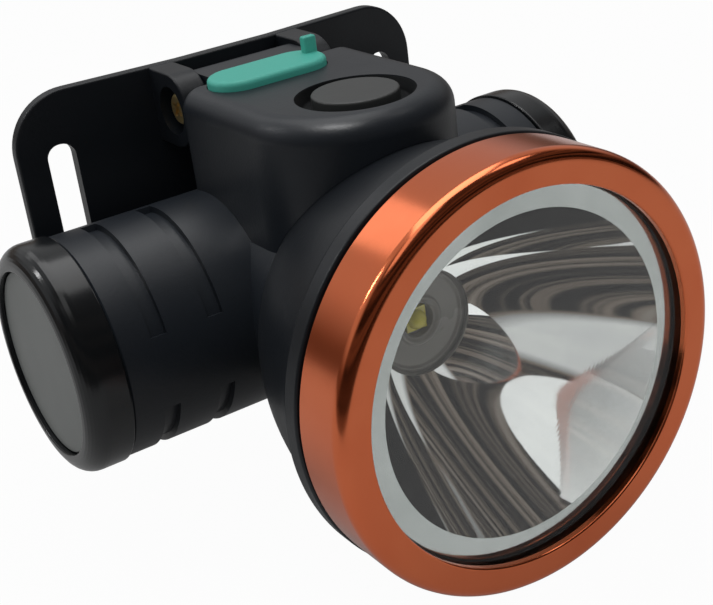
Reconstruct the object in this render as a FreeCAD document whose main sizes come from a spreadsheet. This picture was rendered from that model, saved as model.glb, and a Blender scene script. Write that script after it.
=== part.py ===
import FreeCAD, Part

# Self-contained miner's cap lamp: a round lamp head with a wide bezel sits on a black housing that crosses
# a battery barrel. The housing hangs from two ears of a strap plate and tilts on two hinge screws.
# Frame in millimetres: origin at the centre of the strap plate's flat rear face, X to the right,
# the lamp looks along -Y, Z is up.

import math
import os
import re

import Sketcher

Vector = FreeCAD.Vector

# Driving sizes: name, value in millimetres (angles in degrees, counts plain), meaning.
SIZES = (
    ("plate_width", 74.4, "strap plate, over both wings"),
    ("plate_height", 47.0, "strap plate, top to bottom"),
    ("plate_thickness", 2.2, "strap plate wall"),
    ("plate_corner", 9.5, "strap plate corner radius"),
    ("plate_edge", 0.4, "rounded edges of the strap plate"),
    ("plate_flat", 17.0, "width of the flat middle of the plate"),
    ("wing_angle", 5.1, "backward bend of each wing"),
    ("strap_slot_centre", 30.25, "middle plane to the centre of a strap slot"),
    ("strap_slot_width", 4.6, "strap slot, across"),
    ("strap_slot_length", 30.0, "strap slot, end to end"),
    ("ear_thickness", 4.4, "hinge ear along the hinge axis"),
    ("ear_radius", 6.0, "hinge ear about the hinge axis"),
    ("washer_thickness", 0.8, "friction washer between tongue and ear"),
    ("washer_recess", 0.6, "depth of the washer seat in the tongue"),
    ("washer_radius", 4.0, "friction washer"),
    ("tongue_width", 18.4, "hinge tongue between the ears"),
    ("knuckle_radius", 5.2, "hinge tongue about the hinge axis"),
    ("knuckle_gap", 0.3, "tongue to plate"),
    ("screw_radius", 1.5, "hinge screw shank"),
    ("screw_head_radius", 2.55, "hinge screw head"),
    ("screw_head_height", 1.6, "hinge screw head"),
    ("screw_reach", 5.0, "hinge screw in its insert"),
    ("counterbore_radius", 3.9, "screw recess of an ear"),
    ("counterbore_depth", 2.6, "screw recess of an ear"),
    ("insert_radius", 2.4, "threaded insert of the tongue"),
    ("running_fit", 0.05, "radial play of a turning or sliding fit"),
    ("barrel_gap", 0.7, "plate to the rear of the barrel"),
    ("barrel_radius", 17.3, "battery barrel"),
    ("barrel_half", 40.6, "middle plane to a cap seam"),
    ("bore_radius", 13.75, "battery bore"),
    ("axis_drop", 10.0, "plate centre down to the lamp axis and barrel axis"),
    ("seam_chamfer", 0.3, "edges of the barrel and caps at their seams"),
    ("groove_inner", 24.2, "middle plane to the inner grip groove"),
    ("groove_pitch", 9.0, "inner to outer grip groove"),
    ("groove_width", 2.5, "grip groove along the barrel"),
    ("groove_depth", 1.0, "grip groove"),
    ("groove_angle", 82.0, "length of one grip groove round the barrel"),
    ("cap_radius", 17.7, "end cap"),
    ("cap_floor", 1.4, "floor of the left end cap"),
    ("cap_length", 6.7, "end cap beyond its seam"),
    ("cap_round", 3.0, "rounded outer edge of an end cap"),
    ("cap_spigot", 5.1, "end cap inside the bore"),
    ("cap_disc_radius", 14.1, "inset disc of an end cap"),
    ("cap_disc_thickness", 1.0, "inset disc of an end cap"),
    ("cap_disc_sink", 0.8, "inset disc below the cap's outer face"),
    ("cap_disc_gap", 0.15, "round the inset disc"),
    ("cap_seal_width", 1.8, "cap seal along the barrel"),
    ("cap_seal_depth", 1.1, "cap seal, radial"),
    ("cell_radius", 13.25, "battery cell"),
    ("cell_length", 65.5, "battery cell without its button"),
    ("cell_button_radius", 3.5, "positive button of the cell"),
    ("cell_button_height", 0.8, "positive button of the cell"),
    ("spring_wire", 0.5, "half thickness of the contact spring's wire"),
    ("spring_turns", 3.0, "contact spring"),
    ("contact_radius", 9.5, "contact plates"),
    ("contact_thickness", 0.6, "contact plates"),
    ("block_width", 31.6, "housing block, side to side"),
    ("block_length", 38.1, "housing block, rear face to nose"),
    ("block_top", 22.6, "plate centre up to the top face of the block"),
    ("block_rear", 12.3, "plate front to the rear face of the block"),
    ("block_round", 3.5, "top edge of the block"),
    ("block_corner", 2.5, "rear edges of the block"),
    ("button_setback", 12.2, "nose of the block to the button centre"),
    ("button_radius", 6.35, "power button"),
    ("button_rise", 0.4, "power button above the block"),
    ("button_edge", 0.35, "top edge of the power button"),
    ("button_wall", 1.2, "power button wall"),
    ("button_hollow", 0.4, "hollow of the button above its flange"),
    ("boss_gap", 0.45, "foot of the button flange up to its pressing boss"),
    ("button_travel", 0.6, "power button"),
    ("button_flange", 7.2, "flange that keeps the button in"),
    ("flange_height", 1.1, "flange that keeps the button in"),
    ("collar_radius", 8.7, "collar round the button"),
    ("collar_depth", 2.9, "collar round the button"),
    ("dish_depth", 1.8, "recess of the collar round the button"),
    ("dish_slope", 1.0, "sloping side of the recess"),
    ("switch_depth", 6.9, "top face down to the floor of the switch pocket"),
    ("switch_side", 4.5, "tact switch, square"),
    ("switch_height", 1.4, "tact switch body"),
    ("plunger_radius", 1.2, "tact switch plunger"),
    ("board_thickness", 0.8, "circuit boards"),
    ("plug_length", 19.5, "charging port plug, end to end"),
    ("plug_width", 9.4, "charging port plug, across"),
    ("plug_shift", 2.75, "plug centre to the left of the middle plane"),
    ("plug_setback", 5.9, "rear face of the block to the plug centre"),
    ("plug_rise", 1.4, "plug above the block"),
    ("plug_depth", 3.0, "plug seat in the block"),
    ("plug_play", 0.15, "round the plug"),
    ("tab_length", 2.2, "pull tab of the plug, along the plug"),
    ("tab_height", 2.5, "pull tab above the plug"),
    ("tab_thickness", 1.4, "pull tab, front to back"),
    ("tab_inset", 2.9, "rear edge of the plug to the pull tab"),
    ("tab_margin", 0.3, "end of the plug to the pull tab"),
    ("socket_width", 8.9, "charging socket"),
    ("socket_height", 3.2, "charging socket"),
    ("socket_depth", 7.3, "charging socket"),
    ("socket_wall", 0.3, "charging socket shell"),
    ("socket_floor", 1.2, "charging socket"),
    ("tongue_thickness", 0.7, "contact tongue of the socket"),
    ("tongue_sink", 1.0, "contact tongue below the mouth of the socket"),
    ("neck_radius", 20.2, "neck between barrel and bowl"),
    ("neck_lead", 1.8, "barrel front to the neck's front face"),
    ("neck_length", 9.0, "straight part of the neck"),
    ("driver_radius", 13.8, "driver board"),
    ("chip_width", 8.0, "driver chip, across"),
    ("chip_length", 6.0, "driver chip, top to bottom"),
    ("chip_drop", 3.0, "lamp axis down to the driver chip"),
    ("chip_thickness", 1.2, "driver chip"),
    ("driver_pocket", 2.8, "driver pocket in the neck"),
    ("bowl_depth", 38.0, "bezel front to the bowl's rear face"),
    ("bowl_floor", 3.0, "bowl floor"),
    ("bowl_hole", 12.0, "wire hole of the bowl floor"),
    ("bowl_slope", 3.0, "slope of the bowl's inner wall"),
    ("bowl_front_radius", 29.4, "bowl behind its rim"),
    ("bowl_bulge_radius", 48.0, "curve of the bowl's side"),
    ("bowl_wall", 4.2, "bowl wall behind the rim"),
    ("rim_radius", 31.2, "rim of the bowl"),
    ("rim_length", 3.0, "rim of the bowl"),
    ("rim_chamfer", 0.4, "edges of the bowl's rim"),
    ("spigot_radius", 28.5, "bowl spigot inside the bezel"),
    ("spigot_bore", 25.2, "bowl mouth"),
    ("thread_play", 0.1, "spigot to bezel"),
    ("seal_thickness", 0.5, "seal between bezel and rim"),
    ("bezel_radius", 31.0, "bezel ring"),
    ("bezel_length", 9.4, "bezel ring"),
    ("bezel_round", 1.8, "front edge of the bezel"),
    ("window_radius", 26.3, "bezel opening"),
    ("bezel_chamfer", 0.3, "inner front edge and outer rear edge of the bezel"),
    ("lip_depth", 1.2, "front lip of the bezel"),
    ("lens_radius", 27.8, "front lens"),
    ("lens_thickness", 1.8, "front lens"),
    ("lens_play", 0.2, "round the lens"),
    ("gasket_inner", 26.4, "lens gasket, inside"),
    ("reflector_flange", 26.2, "reflector rim, outside"),
    ("flange_thickness", 1.2, "reflector rim"),
    ("reflector_mouth", 22.9, "reflector bowl at its rim"),
    ("reflector_throat", 8.1, "reflector bowl at its rear"),
    ("reflector_depth", 23.6, "reflector rim to its throat"),
    ("reflector_wall", 2.0, "reflector wall along the lamp axis"),
    ("throat_length", 0.8, "straight rear end of the reflector"),
    ("holder_radius", 9.0, "disc that centres the reflector"),
    ("holder_thickness", 1.9, "disc that centres the reflector"),
    ("holder_hole", 2.6, "disc round the light source"),
    ("emitter_side", 3.5, "light source, square"),
    ("emitter_height", 0.8, "light source body"),
    ("dome_radius", 1.65, "light source dome"),
    ("star_radius", 10.0, "light source board"),
    ("star_thickness", 1.6, "light source board"),
    ("sink_radius", 17.9, "heat sink"),
    ("lead_radius", 0.6, "wire leads"),
    ("lead_offset", 5.5, "lamp axis to each lamp lead"),
    ("lead_hole", 1.0, "holes for the wire leads"),
    ("bowl_screw_circle", 16.6, "lamp axis to each bowl screw"),
    ("bowl_screw_radius", 1.25, "bowl screw shank"),
    ("bowl_screw_head", 2.2, "bowl screw head radius"),
    ("bowl_screw_sink", 1.6, "bowl screw head height"),
    ("bowl_screw_reach", 4.8, "bowl screw in the neck"),
)

doc = FreeCAD.newDocument("cap_lamp")
dims = doc.addObject("Spreadsheet::Sheet", "dims")
for row, (alias, number, meaning) in enumerate(SIZES, start=1):
    dims.set(f"A{row}", meaning)
    dims.set(f"B{row}", str(number))
    dims.setAlias(f"B{row}", alias)
doc.recompute()

ALIASES = {entry[0] for entry in SIZES}
NODES = []
ALL_ROUND = 360.0
SCREW_ANGLES = (30, 150, 270)

# Places that follow from the driving sizes, as expressions of the sheet. Along the lamp axis, distances
# count backwards from the bezel's front face. Forward distances count from the plate's rear face.
LENS_BACK = "(lip_depth + lens_thickness)"
SPIGOT_FRONT = f"({LENS_BACK} + flange_thickness)"
RIM_FRONT = "(bezel_length + seal_thickness)"
RIM_BACK = f"({RIM_FRONT} + rim_length)"
THROAT_END = f"({LENS_BACK} + reflector_depth + throat_length)"
STAR_FRONT = f"({THROAT_END} + holder_thickness)"
STAR_BACK = f"({STAR_FRONT} + star_thickness)"
SINK_BACK = "(bowl_depth - bowl_floor)"
DRIVER_FRONT = "(bowl_depth + driver_pocket - board_thickness)"
BARREL_FORWARD = "(plate_thickness + barrel_gap + barrel_radius)"
LAMP_REACH = f"({BARREL_FORWARD} + barrel_radius + neck_lead + bowl_depth)"
HINGE_FORWARD = "(plate_thickness + knuckle_gap + knuckle_radius)"
HINGE_HEIGHT = "(block_top - knuckle_radius)"
BLOCK_REAR = "(plate_thickness + block_rear)"
NOSE_CENTRE = f"({BLOCK_REAR} + block_length - block_width / 2)"
BUTTON_FORWARD = f"({BLOCK_REAR} + block_length - button_setback)"
SWITCH_FLOOR = "(block_top - switch_depth)"
SWITCH_TOP = f"({SWITCH_FLOOR} + board_thickness + switch_height)"
FLANGE_TOP = "(block_top - collar_depth - running_fit * 2)"
PLUNGER_TOP = f"({FLANGE_TOP} - flange_height + boss_gap - button_travel)"
PLUG_FORWARD = f"({BLOCK_REAR} + plug_setback)"
EAR_INNER = "(tongue_width / 2 + washer_thickness - washer_recess)"
EAR_OUTER = f"({EAR_INNER} + ear_thickness)"
SCREW_SEAT = f"({EAR_OUTER} - counterbore_depth)"
CAP_END = "(barrel_half + cap_length)"
CAP_INNER = "(barrel_half - cap_spigot)"
CAP_FLOOR = f"({CAP_END} - cap_disc_sink - cap_disc_thickness - cap_floor)"
CELL_HALF = "(cell_length / 2)"
BARREL_PLACE = ("0", f"-{BARREL_FORWARD}", "-axis_drop")
LAMP_PLACE = ("0", f"-{LAMP_REACH}", "-axis_drop")


def bind(expression):
    """Puts the sheet's name before each alias of an expression."""
    return re.sub(r"[a-z_]+", lambda word: f"dims.{word[0]}" if word[0] in ALIASES else word[0], expression)


def measure(expression):
    """Gives the present value of an expression of the sheet."""
    return float(dims.evalExpression(bind(expression)))


def drive(item, target, expression):
    """Ties one property of an object to the sheet."""
    item.setExpression(target, bind(expression))


def new_body(label, place=("0", "0", "0"), node=True):
    """Starts a sub-part at a place given by expressions and lists it as a node."""
    body = doc.addObject("PartDesign::Body", label)
    body.Label = label
    for axis, expression in zip("xyz", place):
        drive(body, f"Placement.Base.{axis}", expression)
    if node:
        NODES.append(body)
    return body


def new_sketch(body, name, plane="XY_Plane", offset=("0", "0", "0"), turn=None):
    """Attaches a sketch to one of the body's own origin planes, shifted in the sketch's own axes."""
    sketch = body.newObject("Sketcher::SketchObject", name)
    support = next(item for item in body.Origin.OriginFeatures if item.Role == plane)
    sketch.AttachmentSupport = [(support, "")]
    sketch.MapMode = "FlatFace"
    if turn is not None:
        sketch.AttachmentOffset = FreeCAD.Placement(Vector(0, 0, 0), turn)
    for axis, expression in zip("xyz", offset):
        drive(sketch, f"AttachmentOffset.Base.{axis}", expression)
    return sketch


def pin_point(sketch, geometry, point, across, up):
    """Fixes a sketch point at two expressions, measured from the sketch's origin."""
    for kind, expression in (("DistanceX", across), ("DistanceY", up)):
        index = sketch.addConstraint(Sketcher.Constraint(kind, -1, 1, geometry, point, measure(expression)))
        sketch.setExpression(f"Constraints[{index}]", bind(expression))


def draw_circle(sketch, across, up, radius):
    """Draws one circle whose centre and radius follow the sheet."""
    centre = Vector(measure(across), measure(up), 0)
    geometry = sketch.addGeometry(Part.Circle(centre, Vector(0, 0, 1), measure(radius)), False)
    pin_point(sketch, geometry, 3, across, up)
    index = sketch.addConstraint(Sketcher.Constraint("Radius", geometry, measure(radius)))
    sketch.setExpression(f"Constraints[{index}]", bind(radius))


def draw_outline(sketch, corners):
    """Draws a closed outline through corners given as expressions.

    A corner of two expressions starts a straight edge. A third expression and a side make the edge an arc
    of that radius that turns to the left (1) or to the right (-1).
    """
    points = [Vector(measure(corner[0]), measure(corner[1]), 0) for corner in corners]
    ends = []
    for index, corner in enumerate(corners):
        start = points[index]
        finish = points[(index + 1) % len(points)]
        if len(corner) == 2:
            geometry = sketch.addGeometry(Part.LineSegment(start, finish), False)
            ends.append((geometry, 1, 2))
            continue
        radius = measure(corner[2])
        side = corner[3]
        chord = finish - start
        height = math.sqrt(max(radius ** 2 - (chord.Length / 2) ** 2, 0.0))
        centre = (start + finish) * 0.5 + Vector(-chord.y, chord.x, 0) * (side * height / chord.Length)
        first, last = (start, finish) if side > 0 else (finish, start)
        angles = [math.atan2(point.y - centre.y, point.x - centre.x) for point in (first, last)]
        arc = Part.ArcOfCircle(Part.Circle(centre, Vector(0, 0, 1), radius), *angles)
        geometry = sketch.addGeometry(arc, False)
        ends.append((geometry, 1, 2) if side > 0 else (geometry, 2, 1))
        index_radius = sketch.addConstraint(Sketcher.Constraint("Radius", geometry, radius))
        sketch.setExpression(f"Constraints[{index_radius}]", bind(corner[2]))
    for index, (geometry, start, finish) in enumerate(ends):
        following = ends[(index + 1) % len(ends)]
        sketch.addConstraint(Sketcher.Constraint("Coincident", geometry, finish, following[0], following[1]))
        pin_point(sketch, geometry, start, corners[index][0], corners[index][1])


def draw_slot(sketch, first, second, radius):
    """Draws a slot with round ends about two centres given as pairs of expressions."""
    ends = [Vector(measure(across), measure(up), 0) for across, up in (first, second)]
    width = measure(radius)
    along = (ends[1] - ends[0]).normalize()
    left = Vector(-along.y, along.x, 0) * width
    heading = math.atan2(along.y, along.x)
    quarter = math.pi / 2
    normal = Vector(0, 0, 1)
    far_arc = Part.ArcOfCircle(Part.Circle(ends[1], normal, width), heading - quarter, heading + quarter)
    near_arc = Part.ArcOfCircle(Part.Circle(ends[0], normal, width), heading + quarter, heading + 3 * quarter)
    far = sketch.addGeometry(far_arc, False)
    top = sketch.addGeometry(Part.LineSegment(ends[1] + left, ends[0] + left), False)
    near = sketch.addGeometry(near_arc, False)
    bottom = sketch.addGeometry(Part.LineSegment(ends[0] - left, ends[1] - left), False)
    for one, other in ((far, top), (top, near), (near, bottom), (bottom, far)):
        sketch.addConstraint(Sketcher.Constraint("Tangent", one, 2, other, 1))
    sketch.addConstraint(Sketcher.Constraint("Equal", far, near))
    pin_point(sketch, near, 3, *first)
    pin_point(sketch, far, 3, *second)
    index = sketch.addConstraint(Sketcher.Constraint("Radius", far, width))
    sketch.setExpression(f"Constraints[{index}]", bind(radius))


def finish_feature(body, feature, before, cut):
    """Recomputes a feature and makes sure that it added or removed material."""
    doc.recompute()
    change = feature.Shape.Volume - before
    if (change > -1e-6) if cut else (change < 1e-6):
        raise RuntimeError(f"{body.Label}: {feature.Name} changed the volume by {change:.4f}")
    return feature


def solid_volume(body):
    """Gives the volume that a body has so far."""
    return body.Tip.Shape.Volume if body.Tip else 0.0


def extrude(body, sketch, length, both_ways=False, backwards=False, cut=False):
    """Pads a sketch, or pockets it, over a length that follows the sheet."""
    before = solid_volume(body)
    kind = "Pocket" if cut else "Pad"
    feature = body.newObject(f"PartDesign::{kind}", f"{sketch.Name}_{kind.lower()}")
    feature.Profile = sketch
    feature.Type = "Length"
    feature.SideType = "Symmetric" if both_ways else "One side"
    feature.Reversed = backwards
    drive(feature, "Length", length)
    return finish_feature(body, feature, before, cut)


def revolve(body, sketch, axis="V_Axis", cut=False, angle=None):
    """Turns a sketch about one of its own axes, all round or over an angle centred on the sketch."""
    before = solid_volume(body)
    kind = "Groove" if cut else "Revolution"
    feature = body.newObject(f"PartDesign::{kind}", f"{sketch.Name}_{kind.lower()}")
    feature.Profile = sketch
    feature.ReferenceAxis = (sketch, [axis])
    if angle is None:
        feature.Angle = ALL_ROUND
    else:
        feature.Midplane = True
        drive(feature, "Angle", angle)
    return finish_feature(body, feature, before, cut)


def mirror_features(body, features):
    """Repeats features on the other side of the middle plane."""
    mirror = body.newObject("PartDesign::Mirrored", f"{features[0].Name}_mirrored")
    mirror.Originals = features
    plane = next(item for item in body.Origin.OriginFeatures if item.Role == "YZ_Plane")
    mirror.MirrorPlane = (plane, [""])
    body.Tip = mirror
    doc.recompute()
    return mirror


def middle_of(edge):
    """Gives the point halfway along an edge."""
    return edge.valueAt((edge.FirstParameter + edge.LastParameter) / 2)


def round_edges(body, name, radius, wanted, kind="Fillet"):
    """Rounds or chamfers the edges of a body for which wanted(edge) holds."""
    base = body.Tip
    names = [f"Edge{number}" for number, edge in enumerate(base.Shape.Edges, start=1) if wanted(edge)]
    if not names:
        raise RuntimeError(f"{body.Label}: no edge found for {name}")
    feature = body.newObject(f"PartDesign::{kind}", name)
    feature.Base = (base, names)
    drive(feature, "Radius" if kind == "Fillet" else "Size", radius)
    doc.recompute()
    return feature


def turned(label, place, corners, axis="V_Axis"):
    """Makes a turned piece from one outline beside its axis."""
    body = new_body(label, place)
    sketch = new_sketch(body, f"{label}_profile")
    draw_outline(sketch, corners)
    revolve(body, sketch, axis)
    return body


def ring_corners(inner, outer, front, back):
    """Gives the outline of a plain ring about the sketch's upright axis."""
    return [(inner, front), (outer, front), (outer, back), (inner, back)]


def mirrored_copy(label, source):
    """Makes a sub-part that is the mirror image of another across the middle plane."""
    image = doc.addObject("Part::Mirroring", label)
    image.Label = label
    image.Source = source
    image.Base = Vector(0, 0, 0)
    image.Normal = Vector(1, 0, 0)
    NODES.append(image)
    return image


def grouped(label, pieces):
    """Groups like pieces as one sub-part of separate solids."""
    group = doc.addObject("Part::Compound", label)
    group.Label = label
    group.Links = pieces
    NODES.append(group)
    return group


def mirrored_pair(label, source):
    """Groups a piece and its mirror image as one sub-part."""
    image = doc.addObject("Part::Mirroring", f"{label}_image")
    image.Source = source
    image.Base = Vector(0, 0, 0)
    image.Normal = Vector(1, 0, 0)
    return grouped(label, [source, image])


# ---------------------------------------------------------------- strap plate and hinge

def make_bracket_plate():
    """Strap plate with bent wings, two strap slots and the two hinge ears."""
    body = new_body("bracket_plate")
    half = "plate_width / 2"
    flat = "plate_flat / 2"
    bend = "(plate_width - plate_flat) / 2 * tan(wing_angle)"
    section = new_sketch(body, "plate_section")
    draw_outline(section, [
        (f"-{half}", bend),
        (f"-{half}", f"{bend} - plate_thickness"),
        (f"-{flat}", "-plate_thickness"),
        (flat, "-plate_thickness"),
        (half, f"{bend} - plate_thickness"),
        (half, bend),
        (flat, "0"),
        (f"-{flat}", "0"),
    ])
    extrude(body, section, "plate_height", both_ways=True)
    tip = measure(half)
    top = measure("plate_height / 2")
    round_edges(
        body, "plate_corners", "plate_corner",
        lambda edge: abs(abs(middle_of(edge).x) - tip) < 0.01 and abs(abs(middle_of(edge).z) - top) < 0.01,
    )
    corner = measure("plate_corner")
    thickness = measure("plate_thickness")

    def on_outline(edge):
        """Tells whether an edge runs along the plate's outline, not through its thickness."""
        middle = middle_of(edge)
        across = max(abs(middle.x) - tip + corner, 0.0)
        up = max(abs(middle.z) - top + corner, 0.0)
        return edge.Length > thickness * 1.5 and math.hypot(across, up) > corner * 0.95

    round_edges(body, "plate_edges", "plate_edge", on_outline)
    slots = new_sketch(body, "strap_slots", "XZ_Plane")
    reach = "(strap_slot_length - strap_slot_width) / 2"
    for side in ("-", ""):
        across = f"{side}strap_slot_centre"
        draw_slot(slots, (across, f"-{reach}"), (across, reach), "strap_slot_width / 2")
    extrude(body, slots, "plate_width", both_ways=True, cut=True)

    ear = new_sketch(body, "ear", "YZ_Plane", ("0", "0", EAR_INNER))
    root = "-plate_thickness / 2"
    draw_outline(ear, [
        (root, f"{HINGE_HEIGHT} + ear_radius"),
        (f"-{HINGE_FORWARD}", f"{HINGE_HEIGHT} + ear_radius", "ear_radius", 1),
        (f"-{HINGE_FORWARD} - ear_radius", HINGE_HEIGHT, "ear_radius", 1),
        (f"-{HINGE_FORWARD}", f"{HINGE_HEIGHT} - ear_radius"),
        (root, f"{HINGE_HEIGHT} - ear_radius"),
    ])
    ear_pad = extrude(body, ear, "ear_thickness")
    recess = new_sketch(body, "ear_recess", "YZ_Plane", ("0", "0", EAR_OUTER))
    draw_circle(recess, f"-{HINGE_FORWARD}", HINGE_HEIGHT, "counterbore_radius")
    recess_cut = extrude(body, recess, "counterbore_depth", cut=True)
    bore = new_sketch(body, "ear_bore", "YZ_Plane", ("0", "0", EAR_OUTER))
    draw_circle(bore, f"-{HINGE_FORWARD}", HINGE_HEIGHT, "screw_radius + running_fit")
    bore_cut = extrude(body, bore, "ear_thickness", cut=True)
    mirror_features(body, [ear_pad, recess_cut, bore_cut])
    return body


def make_hinge_screws():
    """Two pan head screws with cross recesses, held in the tongue and turning in the ears."""
    body = new_body("right_hinge_screw", ("0", f"-{HINGE_FORWARD}", HINGE_HEIGHT), node=False)
    head_top = f"({SCREW_SEAT} + screw_head_height)"
    profile = new_sketch(body, "hinge_screw_profile")
    draw_outline(profile, [
        ("tongue_width / 2 - screw_reach", "0"),
        (head_top, "0"),
        (head_top, "screw_head_radius * 0.7"),
        (f"{SCREW_SEAT} + screw_head_height * 0.5", "screw_head_radius"),
        (SCREW_SEAT, "screw_head_radius"),
        (SCREW_SEAT, "screw_radius"),
        ("tongue_width / 2 - screw_reach", "screw_radius"),
    ])
    revolve(body, profile, "H_Axis")
    cross = new_sketch(body, "hinge_screw_cross", "YZ_Plane", ("0", "0", head_top))
    arm = "screw_head_radius * 0.52"
    rib = "screw_head_radius * 0.13"
    draw_outline(cross, [
        (arm, rib), (rib, rib), (rib, arm), (f"-{rib}", arm), (f"-{rib}", rib), (f"-{arm}", rib),
        (f"-{arm}", f"-{rib}"), (f"-{rib}", f"-{rib}"), (f"-{rib}", f"-{arm}"), (rib, f"-{arm}"),
        (rib, f"-{rib}"), (arm, f"-{rib}"),
    ])
    extrude(body, cross, "screw_head_height * 0.6", cut=True)
    return mirrored_pair("hinge_screws", body)


def make_hinge_rings():
    """Friction washers against the ears and the threaded inserts of the tongue."""
    place = ("0", f"-{HINGE_FORWARD}", HINGE_HEIGHT)
    washer = new_body("right_hinge_washer", place, node=False)
    profile = new_sketch(washer, "hinge_washer_profile")
    start = "(tongue_width / 2 - washer_recess)"
    draw_outline(profile, [
        (start, "screw_radius + running_fit"),
        (f"{start} + washer_thickness", "screw_radius + running_fit"),
        (f"{start} + washer_thickness", "washer_radius"),
        (start, "washer_radius"),
    ])
    revolve(washer, profile, "H_Axis")
    mirrored_pair("hinge_washers", washer)
    insert = new_body("right_hinge_insert", place, node=False)
    profile = new_sketch(insert, "hinge_insert_profile")
    draw_outline(profile, [
        (f"{start} - screw_reach", "screw_radius"),
        (start, "screw_radius"),
        (start, "insert_radius"),
        (f"{start} - screw_reach", "insert_radius"),
    ])
    revolve(insert, profile, "H_Axis")
    mirrored_pair("hinge_inserts", insert)


# ---------------------------------------------------------------- housing

def make_head_housing():
    """Moulded housing: D-shaped block over the battery barrel, with neck, hinge tongue and grip grooves."""
    body = new_body("head_housing")
    half = "block_width / 2"
    outline = new_sketch(body, "block_outline", offset=("0", "0", "-axis_drop"))
    draw_outline(outline, [
        (f"-{half}", f"-{BLOCK_REAR}"),
        (f"-{half}", f"-{NOSE_CENTRE}", half, 1),
        ("0", f"-{NOSE_CENTRE} - {half}", half, 1),
        (half, f"-{NOSE_CENTRE}"),
        (half, f"-{BLOCK_REAR}"),
    ])
    extrude(body, outline, "block_top + axis_drop")
    top = measure("block_top")
    rear = measure(f"-{BLOCK_REAR}")
    round_edges(
        body, "block_top_round", "block_round",
        lambda edge: abs(middle_of(edge).z - top) < 0.01 and middle_of(edge).y < rear - 0.1,
    )
    bottom = measure("-axis_drop")
    round_edges(
        body, "block_rear_round", "block_corner",
        lambda edge: abs(middle_of(edge).y - rear) < 0.01 and middle_of(edge).z > bottom + 0.1,
    )

    knuckle = new_sketch(body, "knuckle", "YZ_Plane")
    draw_outline(knuckle, [
        (f"-{BLOCK_REAR} - block_round", "block_top"),
        (f"-{BLOCK_REAR} - block_round", f"{HINGE_HEIGHT} - knuckle_radius"),
        (f"-{HINGE_FORWARD}", f"{HINGE_HEIGHT} - knuckle_radius", "knuckle_radius", 1),
        (f"-{HINGE_FORWARD} + knuckle_radius", HINGE_HEIGHT, "knuckle_radius", 1),
        (f"-{HINGE_FORWARD}", "block_top"),
    ])
    extrude(body, knuckle, "tongue_width", both_ways=True)

    barrel = new_sketch(body, "barrel", offset=BARREL_PLACE)
    draw_outline(barrel, [
        ("-barrel_half", "0"), ("barrel_half", "0"), ("barrel_half", "barrel_radius - seam_chamfer"),
        ("barrel_half - seam_chamfer", "barrel_radius"), ("seam_chamfer - barrel_half", "barrel_radius"),
        ("-barrel_half", "barrel_radius - seam_chamfer"),
    ])
    revolve(body, barrel, "H_Axis")

    neck = new_sketch(body, "neck", offset=LAMP_PLACE)
    draw_outline(neck, [
        ("0", "bowl_depth"),
        ("neck_radius", "bowl_depth"),
        ("neck_radius", "bowl_depth + neck_length"),
        ("neck_radius * 0.7", "bowl_depth + neck_length + neck_radius * 0.3"),
        ("0", "bowl_depth + neck_length + neck_radius * 0.3"),
    ])
    revolve(body, neck)

    saddle = new_sketch(body, "bowl_saddle", offset=LAMP_PLACE)
    draw_outline(saddle, [
        ("0", RIM_BACK),
        ("bowl_front_radius + running_fit", RIM_BACK, "bowl_bulge_radius", 1),
        ("neck_radius + running_fit", "bowl_depth"),
        ("0", "bowl_depth"),
    ])
    revolve(body, saddle, cut=True)

    washer_seat = new_sketch(body, "washer_seat", "YZ_Plane", ("0", "0", "tongue_width / 2"))
    draw_circle(washer_seat, f"-{HINGE_FORWARD}", HINGE_HEIGHT, "washer_radius + running_fit")
    washer_cut = extrude(body, washer_seat, "washer_recess", cut=True)
    insert_seat = new_sketch(body, "insert_seat", "YZ_Plane", ("0", "0", "tongue_width / 2"))
    draw_circle(insert_seat, f"-{HINGE_FORWARD}", HINGE_HEIGHT, "insert_radius")
    insert_cut = extrude(body, insert_seat, "washer_recess + screw_reach", cut=True)
    mirror_features(body, [washer_cut, insert_cut])

    cut_switch_pocket(body)
    cut_port_pocket(body)
    cut_inner_spaces(body)
    cut_grip_grooves(body)
    return body


def cut_switch_pocket(body):
    """Stepped bore for the button collar, the button and the switch board."""
    pocket = new_sketch(body, "switch_pocket", "XZ_Plane", ("0", "0", BUTTON_FORWARD))
    draw_outline(pocket, [
        ("0", SWITCH_FLOOR),
        ("button_flange + running_fit", SWITCH_FLOOR),
        ("button_flange + running_fit", "block_top - collar_depth"),
        ("collar_radius + running_fit", "block_top - collar_depth"),
        ("collar_radius + running_fit", "block_top + button_rise"),
        ("0", "block_top + button_rise"),
    ])
    revolve(body, pocket, cut=True)


def cut_port_pocket(body):
    """Seat of the charging plug and the deeper seat of the socket below it."""
    seat = new_sketch(body, "plug_seat", offset=("0", "0", "block_top"))
    reach = "(plug_length - plug_width) / 2"
    draw_slot(
        seat,
        (f"-plug_shift - {reach}", f"-{PLUG_FORWARD}"),
        (f"-plug_shift + {reach}", f"-{PLUG_FORWARD}"),
        "plug_width / 2 + plug_play",
    )
    extrude(body, seat, "plug_depth", cut=True)
    socket = new_sketch(body, "socket_seat", offset=("0", "0", "block_top"))
    reach = "(socket_width - socket_height) / 2"
    draw_slot(
        socket,
        (f"-plug_shift - {reach}", f"-{PLUG_FORWARD}"),
        (f"-plug_shift + {reach}", f"-{PLUG_FORWARD}"),
        "socket_height / 2 + running_fit",
    )
    extrude(body, socket, "plug_depth + socket_depth", cut=True)


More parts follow.
